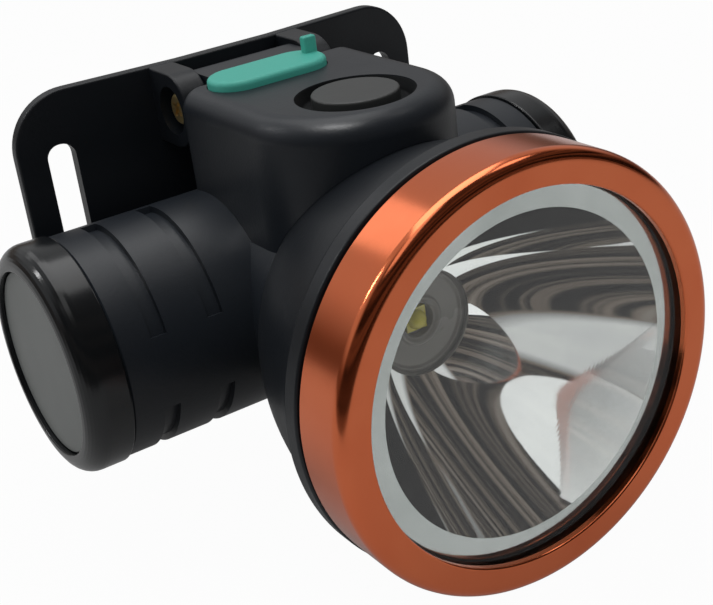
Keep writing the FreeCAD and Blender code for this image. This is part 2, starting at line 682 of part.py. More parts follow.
def cut_inner_spaces(body):
    """Battery bore, driver pocket, wire passages and the bowl screws' blind holes."""
    bore = new_sketch(body, "battery_bore", "YZ_Plane")
    draw_circle(bore, BARREL_PLACE[1], BARREL_PLACE[2], "bore_radius")
    extrude(body, bore, "barrel_half * 2 + cap_length", both_ways=True, cut=True)
    driver = new_sketch(body, "driver_seat", "XZ_Plane", ("0", "0", f"{LAMP_REACH} - bowl_depth"))
    draw_circle(driver, "0", "-axis_drop", "driver_radius + running_fit * 4")
    extrude(body, driver, "driver_pocket", cut=True)
    power = new_sketch(body, "power_passage", "XZ_Plane", ("0", "0", f"{LAMP_REACH} - bowl_depth"))
    draw_circle(power, "0", "-axis_drop", "lead_hole")
    extrude(body, power, "neck_lead + barrel_radius", cut=True)
    lead = new_sketch(body, "switch_passage", offset=("0", "0", SWITCH_FLOOR))
    draw_circle(lead, "0", f"{DRIVER_FRONT} + board_thickness / 2 - {LAMP_REACH}", "lead_hole")
    extrude(body, lead, f"{SWITCH_FLOOR} + axis_drop - driver_radius + lead_hole", cut=True)
    screws = new_sketch(body, "bowl_screw_holes", "XZ_Plane", ("0", "0", f"{LAMP_REACH} - bowl_depth"))
    for angle in SCREW_ANGLES:
        draw_circle(
            screws,
            f"bowl_screw_circle * cos({angle})",
            f"bowl_screw_circle * sin({angle}) - axis_drop",
            "bowl_screw_radius + running_fit",
        )
    extrude(body, screws, "bowl_screw_reach + running_fit * 4", cut=True)


def cut_grip_grooves(body):
    """Three grip grooves round each of four places of the barrel, with plain webs between them."""
    starts = []
    for inner in ("groove_inner", "(groove_inner + groove_pitch)"):
        starts += [inner, f"(-{inner} - groove_width)"]
    for number, turn in enumerate((60, 180, 300)):
        rotation = FreeCAD.Rotation(Vector(1, 0, 0), turn)
        sketch = new_sketch(body, f"grip_grooves_{number + 1}", offset=BARREL_PLACE, turn=rotation)
        for start in starts:
            draw_outline(sketch, [
                (start, "-barrel_radius - groove_depth"),
                (f"{start} + groove_width", "-barrel_radius - groove_depth"),
                (f"{start} + groove_width", "groove_depth - barrel_radius"),
                (start, "groove_depth - barrel_radius"),
            ])
        revolve(body, sketch, "H_Axis", cut=True, angle="groove_angle")


# ---------------------------------------------------------------- battery and end caps

def make_end_cap(label, inner, turn):
    """Screw cap of the battery bore, open inside up to a floor at the given distance."""
    body = new_body(label, BARREL_PLACE)
    body.Placement = FreeCAD.Placement(body.Placement.Base, FreeCAD.Rotation(Vector(0, 0, 1), turn))
    seal_start = "(barrel_half - cap_spigot / 2 - cap_seal_width / 2)"
    spigot = "(bore_radius - running_fit)"
    profile = new_sketch(body, f"{label}_profile")
    draw_outline(profile, [
        (inner, "0"),
        (f"{CAP_END} - cap_disc_sink - cap_disc_thickness", "0"),
        (f"{CAP_END} - cap_disc_sink - cap_disc_thickness", "cap_disc_radius + cap_disc_gap"),
        (CAP_END, "cap_disc_radius + cap_disc_gap"),
        (CAP_END, "cap_radius - cap_round", "cap_round", 1),
        (f"{CAP_END} - cap_round", "cap_radius"),
        ("barrel_half + seam_chamfer", "cap_radius"),
        ("barrel_half", "cap_radius - seam_chamfer"),
        ("barrel_half", spigot),
        (f"{seal_start} + cap_seal_width", spigot),
        (f"{seal_start} + cap_seal_width", f"{spigot} - cap_seal_depth"),
        (seal_start, f"{spigot} - cap_seal_depth"),
        (seal_start, spigot),
        (CAP_INNER, spigot),
        (CAP_INNER, "contact_radius + running_fit"),
        (inner, "contact_radius + running_fit"),
    ])
    revolve(body, profile, "H_Axis")
    return body


def make_caps_and_cell():
    """Both end caps with their discs, seals and contacts, and the battery cell between them."""
    right_floor = f"({CAP_INNER} + contact_thickness * 2)"
    make_end_cap("left_end_cap", CAP_FLOOR, 180.0)
    make_end_cap("right_end_cap", right_floor, 0.0)

    disc_back = f"({CAP_END} - cap_disc_sink - cap_disc_thickness)"
    disc = turned("right_cap_disc", BARREL_PLACE, [
        (disc_back, "0"), (f"{CAP_END} - cap_disc_sink", "0"), (f"{CAP_END} - cap_disc_sink", "cap_disc_radius"),
        (disc_back, "cap_disc_radius"),
    ], "H_Axis")
    mirrored_copy("left_cap_disc", disc)

    seal_start = "(barrel_half - cap_spigot / 2 - cap_seal_width / 2)"
    seal_base = "(bore_radius - running_fit - cap_seal_depth)"
    seal = turned("right_cap_seal", BARREL_PLACE, [
        (seal_start, seal_base), (f"{seal_start} + cap_seal_width", seal_base),
        (f"{seal_start} + cap_seal_width", "bore_radius"), (seal_start, "bore_radius"),
    ], "H_Axis")
    mirrored_copy("left_cap_seal", seal)

    cell_end = f"({CELL_HALF} + cell_button_height)"
    cell = turned("battery_cell", BARREL_PLACE, [
        (f"-{CELL_HALF}", "0"), (cell_end, "0"), (cell_end, "cell_button_radius"),
        (CELL_HALF, "cell_button_radius"), (CELL_HALF, "cell_radius"), (f"-{CELL_HALF}", "cell_radius"),
    ], "H_Axis")
    rim = measure("cell_radius")
    round_edges(cell, "cell_edges", "cell_button_height",
                lambda edge: abs(math.hypot(middle_of(edge).y, middle_of(edge).z) - rim) < 0.01
                and len(edge.Vertexes) == 1)

    turned("positive_contact", BARREL_PLACE, [
        (cell_end, "0"), (right_floor, "0"), (right_floor, "contact_radius"),
        (f"{right_floor} - contact_thickness", "contact_radius"),
        (f"{right_floor} - contact_thickness", "cell_button_radius"), (cell_end, "cell_button_radius"),
    ], "H_Axis")
    make_contact_spring()


def make_contact_spring():
    """Conical contact spring between the cell's flat end and the left cap, on its contact plate."""
    plate_face = f"({CAP_FLOOR} - contact_thickness)"
    turned("negative_contact", BARREL_PLACE, [
        (f"-{CAP_FLOOR}", "0"), (f"-{plate_face}", "0"), (f"-{plate_face}", "contact_radius"),
        (f"-{CAP_FLOOR}", "contact_radius"),
    ], "H_Axis")
    wire = measure("spring_wire")
    length = measure(f"{plate_face} - {CELL_HALF}") - 2 * wire
    turns = measure("spring_turns")
    wide = measure("contact_radius") - 1.5 * wire
    narrow = wide * 0.6
    side = 2 * wire * math.sqrt(math.pi) / 2
    helix = Part.makeLongHelix(length / turns, length, wide, math.degrees(math.atan((narrow - wide) / length)))
    corners = [Vector(wide + across * side / 2, 0, up * side / 2)
               for across, up in ((-1, -1), (1, -1), (1, 1), (-1, 1), (-1, -1))]
    section = Part.makePolygon(corners)
    coil = Part.Wire(helix.Edges).makePipeShell([section], True, True)
    spring = doc.addObject("Part::Feature", "negative_spring")
    spring.Label = "negative_spring"
    spring.Shape = coil
    base = Vector(-measure(plate_face) + wire, measure(BARREL_PLACE[1]), measure(BARREL_PLACE[2]))
    spring.Placement = FreeCAD.Placement(base, FreeCAD.Rotation(Vector(0, 1, 0), 90))
    NODES.append(spring)


# ---------------------------------------------------------------- button and charging port

def make_button_group():
    """Power button, its collar, the tact switch and the switch board."""
    place = ("0", f"-{BUTTON_FORWARD}", "0")

    def upright(label, corners):
        body = new_body(label, place)
        sketch = new_sketch(body, f"{label}_profile", "XZ_Plane")
        draw_outline(sketch, corners)
        revolve(body, sketch)
        return body

    upright("button_collar", [
        ("button_radius + running_fit", "block_top - collar_depth"),
        ("collar_radius", "block_top - collar_depth"),
        ("collar_radius", "block_top"),
        ("collar_radius - dish_slope", "block_top - dish_depth"),
        ("button_radius + running_fit", "block_top - dish_depth"),
    ])
    boss_bottom = f"({PLUNGER_TOP} + button_travel + running_fit)"
    button = upright("power_button", [
        ("0", boss_bottom),
        ("plunger_radius", boss_bottom),
        ("plunger_radius", f"{FLANGE_TOP} + button_hollow"),
        ("button_radius - button_wall", f"{FLANGE_TOP} + button_hollow"),
        ("button_radius - button_wall", f"{FLANGE_TOP} - flange_height"),
        ("button_flange", f"{FLANGE_TOP} - flange_height"),
        ("button_flange", FLANGE_TOP),
        ("button_radius", FLANGE_TOP),
        ("button_radius", "block_top + button_rise"),
        ("0", "block_top + button_rise"),
    ])
    crown = measure("block_top + button_rise")
    round_edges(button, "button_crown", "button_edge", lambda edge: abs(middle_of(edge).z - crown) < 0.01)
    upright("switch_board", [
        ("0", SWITCH_FLOOR), ("button_flange", SWITCH_FLOOR),
        ("button_flange", f"{SWITCH_FLOOR} + board_thickness"), ("0", f"{SWITCH_FLOOR} + board_thickness"),
    ])
    switch = new_body("tact_switch", place)
    body_sketch = new_sketch(switch, "switch_body", offset=("0", "0", f"{SWITCH_FLOOR} + board_thickness"))
    half = "switch_side / 2"
    draw_outline(body_sketch, [(f"-{half}", f"-{half}"), (half, f"-{half}"), (half, half), (f"-{half}", half)])
    extrude(switch, body_sketch, "switch_height")
    plunger = new_sketch(switch, "switch_plunger", offset=("0", "0", SWITCH_TOP))
    draw_circle(plunger, "0", "0", "plunger_radius")
    extrude(switch, plunger, f"{PLUNGER_TOP} - {SWITCH_TOP}")


def make_charging_port():
    """Charging socket, and the rubber plug with its pull tab that closes it."""
    place = ("-plug_shift", f"-{PLUG_FORWARD}", "0")
    socket = new_body("charge_socket", place)
    bottom = "(block_top - plug_depth - socket_depth)"
    reach = "(socket_width - socket_height) / 2"
    shell = new_sketch(socket, "socket_shell", offset=("0", "0", bottom))
    draw_slot(shell, (f"-{reach}", "0"), (reach, "0"), "socket_height / 2")
    extrude(socket, shell, "socket_depth")
    mouth = new_sketch(socket, "socket_mouth", offset=("0", "0", "block_top - plug_depth"))
    draw_slot(mouth, (f"-{reach}", "0"), (reach, "0"), "socket_height / 2 - socket_wall")
    extrude(socket, mouth, "socket_depth - socket_floor", cut=True)
    tongue = new_sketch(socket, "socket_tongue", offset=("0", "0", f"{bottom} + socket_floor / 2"))
    half = "tongue_thickness / 2"
    draw_outline(tongue, [(f"-{reach}", f"-{half}"), (reach, f"-{half}"), (reach, half), (f"-{reach}", half)])
    extrude(socket, tongue, "socket_depth - socket_floor / 2 - tongue_sink")

    plug = new_body("port_plug", place)
    cover = new_sketch(plug, "plug_cover", offset=("0", "0", "block_top - plug_depth"))
    reach = "(plug_length - plug_width) / 2"
    draw_slot(cover, (f"-{reach}", "0"), (reach, "0"), "plug_width / 2")
    extrude(plug, cover, "plug_depth + plug_rise")
    crown = measure("block_top + plug_rise")
    round_edges(plug, "plug_edge", "plug_rise * 0.6", lambda edge: abs(middle_of(edge).z - crown) < 0.01)
    tab = new_sketch(plug, "plug_tab", offset=("0", "0", "block_top + running_fit"))
    outer = "(plug_length / 2 - tab_margin)"
    back = "plug_width / 2 - tab_inset"
    draw_outline(tab, [
        (f"{outer} - tab_length", f"{back} - tab_thickness"), (outer, f"{back} - tab_thickness"),
        (outer, back), (f"{outer} - tab_length", back),
    ])
    extrude(plug, tab, "plug_rise + tab_height")


# ---------------------------------------------------------------- lamp

def make_lamp_shells():
    """Bowl, bezel ring, lens and their seals."""
    bowl = turned("lamp_bowl", LAMP_PLACE, [
        ("spigot_bore", SPIGOT_FRONT),
        ("spigot_radius", SPIGOT_FRONT),
        ("spigot_radius", RIM_FRONT),
        ("rim_radius - rim_chamfer", RIM_FRONT),
        ("rim_radius", f"{RIM_FRONT} + rim_chamfer"),
        ("rim_radius", f"{RIM_BACK} - rim_chamfer"),
        ("rim_radius - rim_chamfer", RIM_BACK),
        ("bowl_front_radius", RIM_BACK, "bowl_bulge_radius", 1),
        ("neck_radius", "bowl_depth"),
        ("bowl_hole", "bowl_depth"),
        ("bowl_hole", SINK_BACK),
        ("sink_radius + running_fit", SINK_BACK),
        ("sink_radius + running_fit", STAR_BACK),
        ("bowl_front_radius - bowl_wall - bowl_slope", f"{STAR_BACK} - bowl_slope"),
        ("spigot_bore", f"{RIM_BACK} + bowl_slope"),
    ])
    screws = new_sketch(bowl, "bowl_screw_ways", "XZ_Plane", ("0", "0", f"-{SINK_BACK}"))
    sinks = new_sketch(bowl, "bowl_screw_sinks", "XZ_Plane", ("0", "0", f"-{SINK_BACK}"))
    for angle in SCREW_ANGLES:
        across = f"bowl_screw_circle * cos({angle})"
        up = f"bowl_screw_circle * sin({angle})"
        draw_circle(screws, across, up, "bowl_screw_radius + running_fit")
        draw_circle(sinks, across, up, "bowl_screw_head + running_fit")
    extrude(bowl, screws, "bowl_floor", cut=True)
    extrude(bowl, sinks, "bowl_screw_sink", cut=True)

    bezel = turned("bezel_ring", LAMP_PLACE, [
        ("window_radius", "bezel_chamfer"),
        ("window_radius + bezel_chamfer", "0"),
        ("bezel_radius", "0"),
        ("bezel_radius", "bezel_length - bezel_chamfer"),
        ("bezel_radius - bezel_chamfer", "bezel_length"),
        ("spigot_radius + thread_play", "bezel_length"),
        ("spigot_radius + thread_play", SPIGOT_FRONT),
        ("lens_radius + lens_play", SPIGOT_FRONT),
        ("lens_radius + lens_play", "lip_depth"),
        ("window_radius", "lip_depth"),
    ])
    outside = measure("bezel_radius")
    round_edges(bezel, "bezel_front_edge", "bezel_round",
                lambda edge: abs(middle_of(edge).y) < 0.01
                and abs(math.hypot(middle_of(edge).x, middle_of(edge).z) - outside) < 0.01)
    turned("bezel_seal", LAMP_PLACE, ring_corners(
        "spigot_radius + thread_play", "bezel_radius - seal_thickness", "bezel_length", RIM_FRONT))
    turned("front_lens", LAMP_PLACE, [
        ("0", "lip_depth"), ("lens_radius", "lip_depth"), ("lens_radius", LENS_BACK), ("0", LENS_BACK),
    ])
    turned("lens_gasket", LAMP_PLACE, ring_corners(
        "gasket_inner", "lens_radius", LENS_BACK, SPIGOT_FRONT))


def make_reflector():
    """Thin paraboloid shell with a flat rim and a short straight throat."""
    mouth = measure("reflector_mouth")
    throat = measure("reflector_throat")
    depth = measure("reflector_depth")
    wall = measure("reflector_wall")
    rim = measure("reflector_flange")
    front = measure(LENS_BACK)
    seat = measure(SPIGOT_FRONT)
    rear = measure(f"{LENS_BACK} + reflector_depth")
    end = measure(THROAT_END)
    focus = (mouth ** 2 - throat ** 2) / (4 * depth)

    def depth_at(radius, shift):
        return front + (mouth ** 2 - radius ** 2) / (4 * focus) + shift

    def parabola(shift, start, finish):
        vertex = Vector(0, depth_at(0, shift), 0)
        curve = Part.Parabola(vertex - Vector(0, focus, 0), vertex, Vector(0, 0, 1))
        ends = sorted(curve.parameter(Vector(radius, depth_at(radius, shift), 0)) for radius in (start, finish))
        return Part.Edge(curve.toBSpline(ends[0], ends[1]))

    outer_start = math.sqrt(mouth ** 2 + 4 * focus * (wall - (seat - front)))
    outer_end = math.sqrt(mouth ** 2 - 4 * focus * (end - front - wall))
    corners = [
        Vector(mouth, front, 0), Vector(rim, front, 0), Vector(rim, seat, 0), Vector(outer_start, seat, 0),
    ]
    tail = [Vector(outer_end, end, 0), Vector(throat, end, 0), Vector(throat, rear, 0)]
    edges = [Part.makeLine(first, second) for first, second in zip(corners, corners[1:])]
    edges += [parabola(wall, outer_start, outer_end)]
    edges += [Part.makeLine(first, second) for first, second in zip(tail, tail[1:])]
    edges += [parabola(0.0, mouth, throat)]
    profile = Part.Face(Part.Wire(Part.__sortEdges__(edges)))
    shell = profile.revolve(Vector(0, 0, 0), Vector(0, 1, 0), ALL_ROUND)
    reflector = doc.addObject("Part::Feature", "reflector")
    reflector.Label = "reflector"
    reflector.Shape = shell
    reflector.Placement = FreeCAD.Placement(Vector(0, -measure(LAMP_REACH), -measure("axis_drop")),
                                            FreeCAD.Rotation())
    NODES.append(reflector)


def make_light_source():
    """Centring disc, light source, its board, the heat sink, the driver board and the leads."""
    turned("led_holder", LAMP_PLACE, ring_corners("holder_hole", "holder_radius", THROAT_END, STAR_FRONT))

    emitter = new_body("led_emitter", LAMP_PLACE)
    base = new_sketch(emitter, "emitter_base", "XZ_Plane", ("0", "0", f"-{STAR_FRONT}"))
    half = "emitter_side / 2"
    draw_outline(base, [(f"-{half}", f"-{half}"), (half, f"-{half}"), (half, half), (f"-{half}", half)])
    extrude(emitter, base, "emitter_height")
    dome = new_sketch(emitter, "emitter_dome")
    face = f"({STAR_FRONT} - emitter_height)"
    draw_outline(dome, [
        ("0", face), ("0", f"{face} - dome_radius", "dome_radius", 1), ("dome_radius", face),
    ])
    revolve(emitter, dome)

    star = new_body("led_board", LAMP_PLACE)
    disc = new_sketch(star, "star_disc", "XZ_Plane", ("0", "0", f"-{STAR_BACK}"))
    draw_circle(disc, "0", "0", "star_radius")
    extrude(star, disc, "star_thickness")
    notch = new_sketch(star, "star_notch", "XZ_Plane", ("0", "0", f"-{STAR_FRONT}"))
    draw_circle(notch, "0", "star_radius", "star_radius / 6")
    notch_cut = extrude(star, notch, "star_thickness", cut=True)
    notches = star.newObject("PartDesign::PolarPattern", "star_notches")
    notches.Originals = [notch_cut]
    notches.Axis = (disc, ["N_Axis"])
    notches.Angle = ALL_ROUND
    notches.Occurrences = 6
    star.Tip = notches

    sink = new_body("heat_sink", LAMP_PLACE)
    slug = new_sketch(sink, "sink_disc", "XZ_Plane", ("0", "0", f"-{SINK_BACK}"))
    draw_circle(slug, "0", "0", "sink_radius")
    extrude(sink, slug, f"{SINK_BACK} - {STAR_BACK}")
    ways = new_sketch(sink, "sink_lead_ways", "XZ_Plane", ("0", "0", f"-{STAR_BACK}"))
    draw_circle(ways, "lead_offset", "0", "lead_hole")
    draw_circle(ways, "-lead_offset", "0", "lead_hole")
    extrude(sink, ways, "star_radius", cut=True)

    driver = turned("driver_board", LAMP_PLACE, [
        ("0", DRIVER_FRONT), ("driver_radius", DRIVER_FRONT), ("driver_radius", f"{DRIVER_FRONT} + board_thickness"),
        ("0", f"{DRIVER_FRONT} + board_thickness"),
    ])
    chip = new_sketch(driver, "driver_chip", "XZ_Plane", ("0", "0", f"-{DRIVER_FRONT}"))
    half = "chip_width / 2"
    low = "-chip_drop - chip_length"
    draw_outline(chip, [(f"-{half}", low), (half, low), (half, "-chip_drop"), (f"-{half}", "-chip_drop")])
    extrude(driver, chip, "chip_thickness")

    lead = new_body("right_lamp_lead", LAMP_PLACE, node=False)
    run = new_sketch(lead, "lamp_lead_run", "XZ_Plane", ("0", "0", f"-{DRIVER_FRONT}"))
    draw_circle(run, "lead_offset", "0", "lead_radius")
    extrude(lead, run, f"{DRIVER_FRONT} - {STAR_BACK}")
    mirrored_pair("lamp_leads", lead)
    switch_lead = new_body("switch_lead", ("0", f"{DRIVER_FRONT} + board_thickness / 2 - {LAMP_REACH}", "0"))
    run = new_sketch(switch_lead, "switch_lead_run", offset=("0", "0", "driver_radius - axis_drop"))
    draw_circle(run, "0", "0", "lead_radius")
    extrude(switch_lead, run, f"{SWITCH_FLOOR} + axis_drop - driver_radius")


def make_bowl_screws():
    """Three screws that hold the bowl to the neck."""
    screws = []
    for number, angle in enumerate(SCREW_ANGLES):
        place = (
            f"bowl_screw_circle * cos({angle})",
            f"-{LAMP_REACH}",
            f"bowl_screw_circle * sin({angle}) - axis_drop",
        )
        body = new_body(f"bowl_screw_{number + 1}", place, node=False)
        sketch = new_sketch(body, f"bowl_screw_{number + 1}_profile")
        draw_outline(sketch, [
            ("0", SINK_BACK),
            ("bowl_screw_head", SINK_BACK),
            ("bowl_screw_head", f"{SINK_BACK} + bowl_screw_sink"),
            ("bowl_screw_radius", f"{SINK_BACK} + bowl_screw_sink"),
            ("bowl_screw_radius", "bowl_depth + bowl_screw_reach"),
            ("0", "bowl_depth + bowl_screw_reach"),
        ])
        revolve(body, sketch)
        screws.append(body)
    grouped("bowl_screws", screws)


def check_document():
    """Stops when an object failed or a sub-part is not a sound shape."""
    doc.recompute()
    for item in doc.Objects:
        if any(word in item.State for word in ("Invalid", "Error")):
            raise RuntimeError(f"{item.Name} failed: {item.State}")
    for node in NODES:
        if node.Shape.isNull() or not node.Shape.isValid() or not node.Shape.Solids:
            raise RuntimeError(f"{node.Label} is not a valid solid")


def write_parts():
    """Writes each sub-part to its own file."""
    os.makedirs("parts", exist_ok=True)
    for node in NODES:
        node.Shape.exportStep(f"parts/{node.Label}.step")


make_bracket_plate()
make_hinge_screws()
make_hinge_rings()
make_head_housing()
make_caps_and_cell()
make_button_group()
make_charging_port()
make_lamp_shells()
make_reflector()
make_light_source()
make_bowl_screws()
check_document()
write_parts()
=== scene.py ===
"""Looks of a self-contained miner's cap lamp, built around its packed construction model.

The lamp head with its copper coloured bezel, the black housing with its cross battery barrel, the strap
plate with the hinge, and the small controls are each a class. Lengths in the classes are millimetres.
"""
import logging
import math
from dataclasses import dataclass, field
from enum import Enum
from typing import Callable, Iterable, Optional, Sequence

import bmesh
import bpy
from mathutils import Matrix, Quaternion, Vector


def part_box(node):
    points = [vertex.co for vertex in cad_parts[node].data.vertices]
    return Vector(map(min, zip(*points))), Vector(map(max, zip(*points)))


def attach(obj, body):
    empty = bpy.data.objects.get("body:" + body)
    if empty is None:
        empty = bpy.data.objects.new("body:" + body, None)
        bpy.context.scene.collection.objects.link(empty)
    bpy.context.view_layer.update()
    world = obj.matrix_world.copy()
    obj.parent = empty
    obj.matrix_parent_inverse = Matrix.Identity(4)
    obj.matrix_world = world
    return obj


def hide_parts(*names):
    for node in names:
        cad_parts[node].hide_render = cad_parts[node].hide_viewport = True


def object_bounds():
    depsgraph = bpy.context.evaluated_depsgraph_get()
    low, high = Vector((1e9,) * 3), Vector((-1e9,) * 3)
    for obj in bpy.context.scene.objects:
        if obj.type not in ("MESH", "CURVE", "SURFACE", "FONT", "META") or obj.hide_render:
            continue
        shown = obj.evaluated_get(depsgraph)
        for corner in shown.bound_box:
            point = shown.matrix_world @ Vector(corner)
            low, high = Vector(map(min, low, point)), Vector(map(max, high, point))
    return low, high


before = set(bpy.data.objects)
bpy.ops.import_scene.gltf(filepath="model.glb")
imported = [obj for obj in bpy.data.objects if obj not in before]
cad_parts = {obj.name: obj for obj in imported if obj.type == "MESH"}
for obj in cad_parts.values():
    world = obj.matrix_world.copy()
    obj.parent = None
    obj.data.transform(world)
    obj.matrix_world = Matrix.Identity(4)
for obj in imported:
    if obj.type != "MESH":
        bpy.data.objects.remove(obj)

MM = 0.001
CAD_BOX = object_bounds()
LOG = logging.getLogger("cap_lamp")
WHITE = (1.0, 1.0, 1.0, 1.0)

# Distance in metres below which two places count as the same.
TOLERANCE = 1e-6

# Millimetres by which a rounding stays smaller than a full half circle.
SHORT_OF_FULL = 0.1

# Millimetres that several classes share: the lamp axis below the origin, the block's flat top, the hinge
# axis in front of the plate, the bowl's neck, and the circle of the bowl's screws with their degrees.
AXIS_DROP = 10.0
BLOCK_TOP = 22.6
HINGE_FORWARD = 7.7
NECK_RADIUS = 20.2
SCREW_CIRCLE = 16.6
SCREW_TURNS = (30, 150, 270)


class Axis(Enum):
    """Turning axes of the lamp's round pieces."""

    ALONG_LAMP = Vector((0.0, 1.0, 0.0))
    ALONG_BARREL = Vector((1.0, 0.0, 0.0))
    UPRIGHT = Vector((0.0, 0.0, 1.0))


@dataclass(frozen=True)
class Corner:
    """One corner of an outline and its rounding, in millimetres.

    In a turned outline the first two are the radius and the place along the axis. In a prism's they are
    the two coordinates across the pull.
    """

    radius: float
    along: float
    rounding: float = 0.0


# ------------------------------------------------------------------ meshes


class Maker:
    """Makes finished mesh objects from bmesh operators."""

    FULL_TURN = 2.0 * math.pi
    WELD = 2e-7
    CREASE = 32.0
    ROUND_PROFILE = 0.5
    FLAT_WEIGHT = 90

    @staticmethod
    def finish(name: str, shape: bmesh.types.BMesh, crease: float = CREASE) -> bpy.types.Object:
        """Turns a bmesh into a linked, smoothly shaded object.

        Args:
            name: Name of the new object.
            shape: The finished bmesh, which is freed.
            crease: Angle in degrees above which an edge stays sharp.

        Returns:
            The new object.
        """
        bmesh.ops.remove_doubles(shape, verts=shape.verts[:], dist=Maker.WELD)
        bmesh.ops.recalc_face_normals(shape, faces=shape.faces[:])
        mesh = bpy.data.meshes.new(name)
        shape.to_mesh(mesh)
        shape.free()
        mesh.shade_smooth()
        mesh.set_sharp_from_angle(angle=math.radians(crease))
        piece = bpy.data.objects.new(name, mesh)
        bpy.context.scene.collection.objects.link(piece)
        return piece

    @staticmethod
    def outline(shape: bmesh.types.BMesh, corners: Sequence[Corner], steps: int, hold: bool) -> None:
        """Draws an outline in the X-Y plane with its corners rounded.

        The outline is closed, except where it starts and ends on the turning axis.

        Args:
            shape: The empty bmesh that receives the outline.
            corners: Corners in order round the outline.
            steps: Segments of each rounded corner.
            hold: Whether long straight runs get points near their ends.
        """
        points = [shape.verts.new((corner.radius * MM, corner.along * MM, 0.0)) for corner in corners]
        pairs = list(zip(points, points[1:]))
        if max(corners[0].radius, corners[-1].radius) > 0.0:
            pairs.append((points[-1], points[0]))
        for start, end in pairs:
            shape.edges.new((start, end))
        Maker.round_corners(shape, points, corners, steps)
        if hold:
            Maker.hold_flats(shape)

    @staticmethod
    def bevel(shape: bmesh.types.BMesh, chosen: Sequence, size: float, steps: int,
              affect: str = "EDGES") -> None:
        """Rounds chosen edges, or with VERTICES chosen points, by a size in millimetres."""
        bmesh.ops.bevel(
            shape, geom=chosen, offset=size * MM, offset_type="OFFSET", segments=steps,
            profile=Maker.ROUND_PROFILE, affect=affect, material=-1,
        )

    @staticmethod
    def round_corners(
        shape: bmesh.types.BMesh, points: Sequence[bmesh.types.BMVert], corners: Sequence[Corner], steps: int,
    ) -> None:
        """Rounds the corners of a drawn outline, one size after the other."""
        pairs = list(zip(points, corners))
        roundings = sorted({corner.rounding for corner in corners if corner.rounding > 0.0})
        wanted = [(size, [point for point, corner in pairs if corner.rounding == size]) for size in roundings]
        for size, chosen in wanted:
            Maker.bevel(shape, chosen, size, steps, "VERTICES")

    @staticmethod
    def hold_flats(shape: bmesh.types.BMesh, margin: float = 0.06, shortest: float = 0.5) -> None:
        """Splits each long straight run near both ends, so that smooth shading keeps its flats flat.

        Args:
            shape: The bmesh that holds the outline.
            margin: Distance of the new points from the run's ends, in millimetres.
            shortest: Length from which a run counts as long, in millimetres.
        """
        for edge in [edge for edge in shape.edges if edge.calc_length() > shortest * MM]:
            start, end = edge.verts
            share = margin * MM / edge.calc_length()
            point = bmesh.utils.edge_split(edge, start, share)[1]
            rest = next(piece for piece in point.link_edges if end in piece.verts)
            bmesh.utils.edge_split(rest, end, share / (1.0 - share))

    @classmethod
    def turned(
        cls, name: str, corners: Sequence[Corner], centre: Vector, axis: Axis, segments: int = 160,
        steps: int = 5, crease: float = CREASE, hold: bool = True,
    ) -> bpy.types.Object:
        """Turns an outline about an axis.

        Args:
            name: Name of the new object.
            corners: Outline beside the axis, in millimetres.
            centre: Point on the axis from which the corners' places count, in metres.
            axis: The turning axis.
            segments: Steps of the turn.
            steps: Segments of each rounded corner.
            crease: Angle in degrees above which an edge stays sharp.
            hold: Whether long straight runs get points near their ends.

        Returns:
            The turned object, in place.
        """
        shape = bmesh.new()
        cls.outline(shape, corners, steps, hold)
        bmesh.ops.spin(
            shape, geom=shape.verts[:] + shape.edges[:], cent=(0, 0, 0), axis=(0, 1, 0), dvec=(0, 0, 0),
            angle=cls.FULL_TURN, steps=segments, use_merge=True, use_duplicate=False,
        )
        bmesh.ops.transform(shape, matrix=cls.facing(centre, axis), verts=shape.verts[:])
        return cls.finish(name, shape, crease)

    @staticmethod
    def facing(centre: Vector, axis: Axis) -> Matrix:
        """Gives the matrix that carries +Y onto an axis through a point."""
        turn = Vector((0.0, 1.0, 0.0)).rotation_difference(axis.value)
        return Matrix.Translation(centre) @ turn.to_matrix().to_4x4()

    @classmethod
    def prism(
        cls, name: str, corners: Sequence[Corner], low: float, high: float, axis: Axis, steps: int = 12,
        edge: float = 0.0, edge_steps: int = 4, keep: Optional[Callable[[Vector], bool]] = None,
    ) -> bpy.types.Object:
        """Draws an outline across an axis and pulls it along the axis.

        Args:
            name: Name of the new object.
            corners: Outline in millimetres: X and Y for an upright prism, Y and Z for one along the
                barrel, X and Z for one along the lamp.
            low: Start along the axis, in millimetres.
            high: End along the axis, in millimetres.
            axis: Direction of the pull.
            steps: Segments of each rounded corner of the outline.
            edge: Rounding of the end faces' edges, in millimetres.
            edge_steps: Segments of that rounding.
            keep: Tells by its middle, in metres, whether an end edge stays sharp.

        Returns:
            The prism, in place.
        """
        shape = bmesh.new()
        points = [shape.verts.new((corner.radius * MM, corner.along * MM, 0.0)) for corner in corners]
        shape.faces.new(points)
        cls.round_corners(shape, points, corners, steps)
        bmesh.ops.translate(shape, verts=shape.verts[:], vec=(0.0, 0.0, low * MM))
        pulled = bmesh.ops.extrude_face_region(shape, geom=shape.faces[:])
        moved = [item for item in pulled["geom"] if isinstance(item, bmesh.types.BMVert)]
        bmesh.ops.translate(shape, verts=moved, vec=(0.0, 0.0, (high - low) * MM))
        bmesh.ops.holes_fill(shape, edges=[item for item in shape.edges if item.is_boundary])
        bmesh.ops.transform(shape, matrix=cls.across(axis), verts=shape.verts[:])
        bmesh.ops.recalc_face_normals(shape, faces=shape.faces[:])
        if edge > 0.0:
            cls.round_sharp(shape, edge, edge_steps, keep)
        return cls.finish(name, shape)

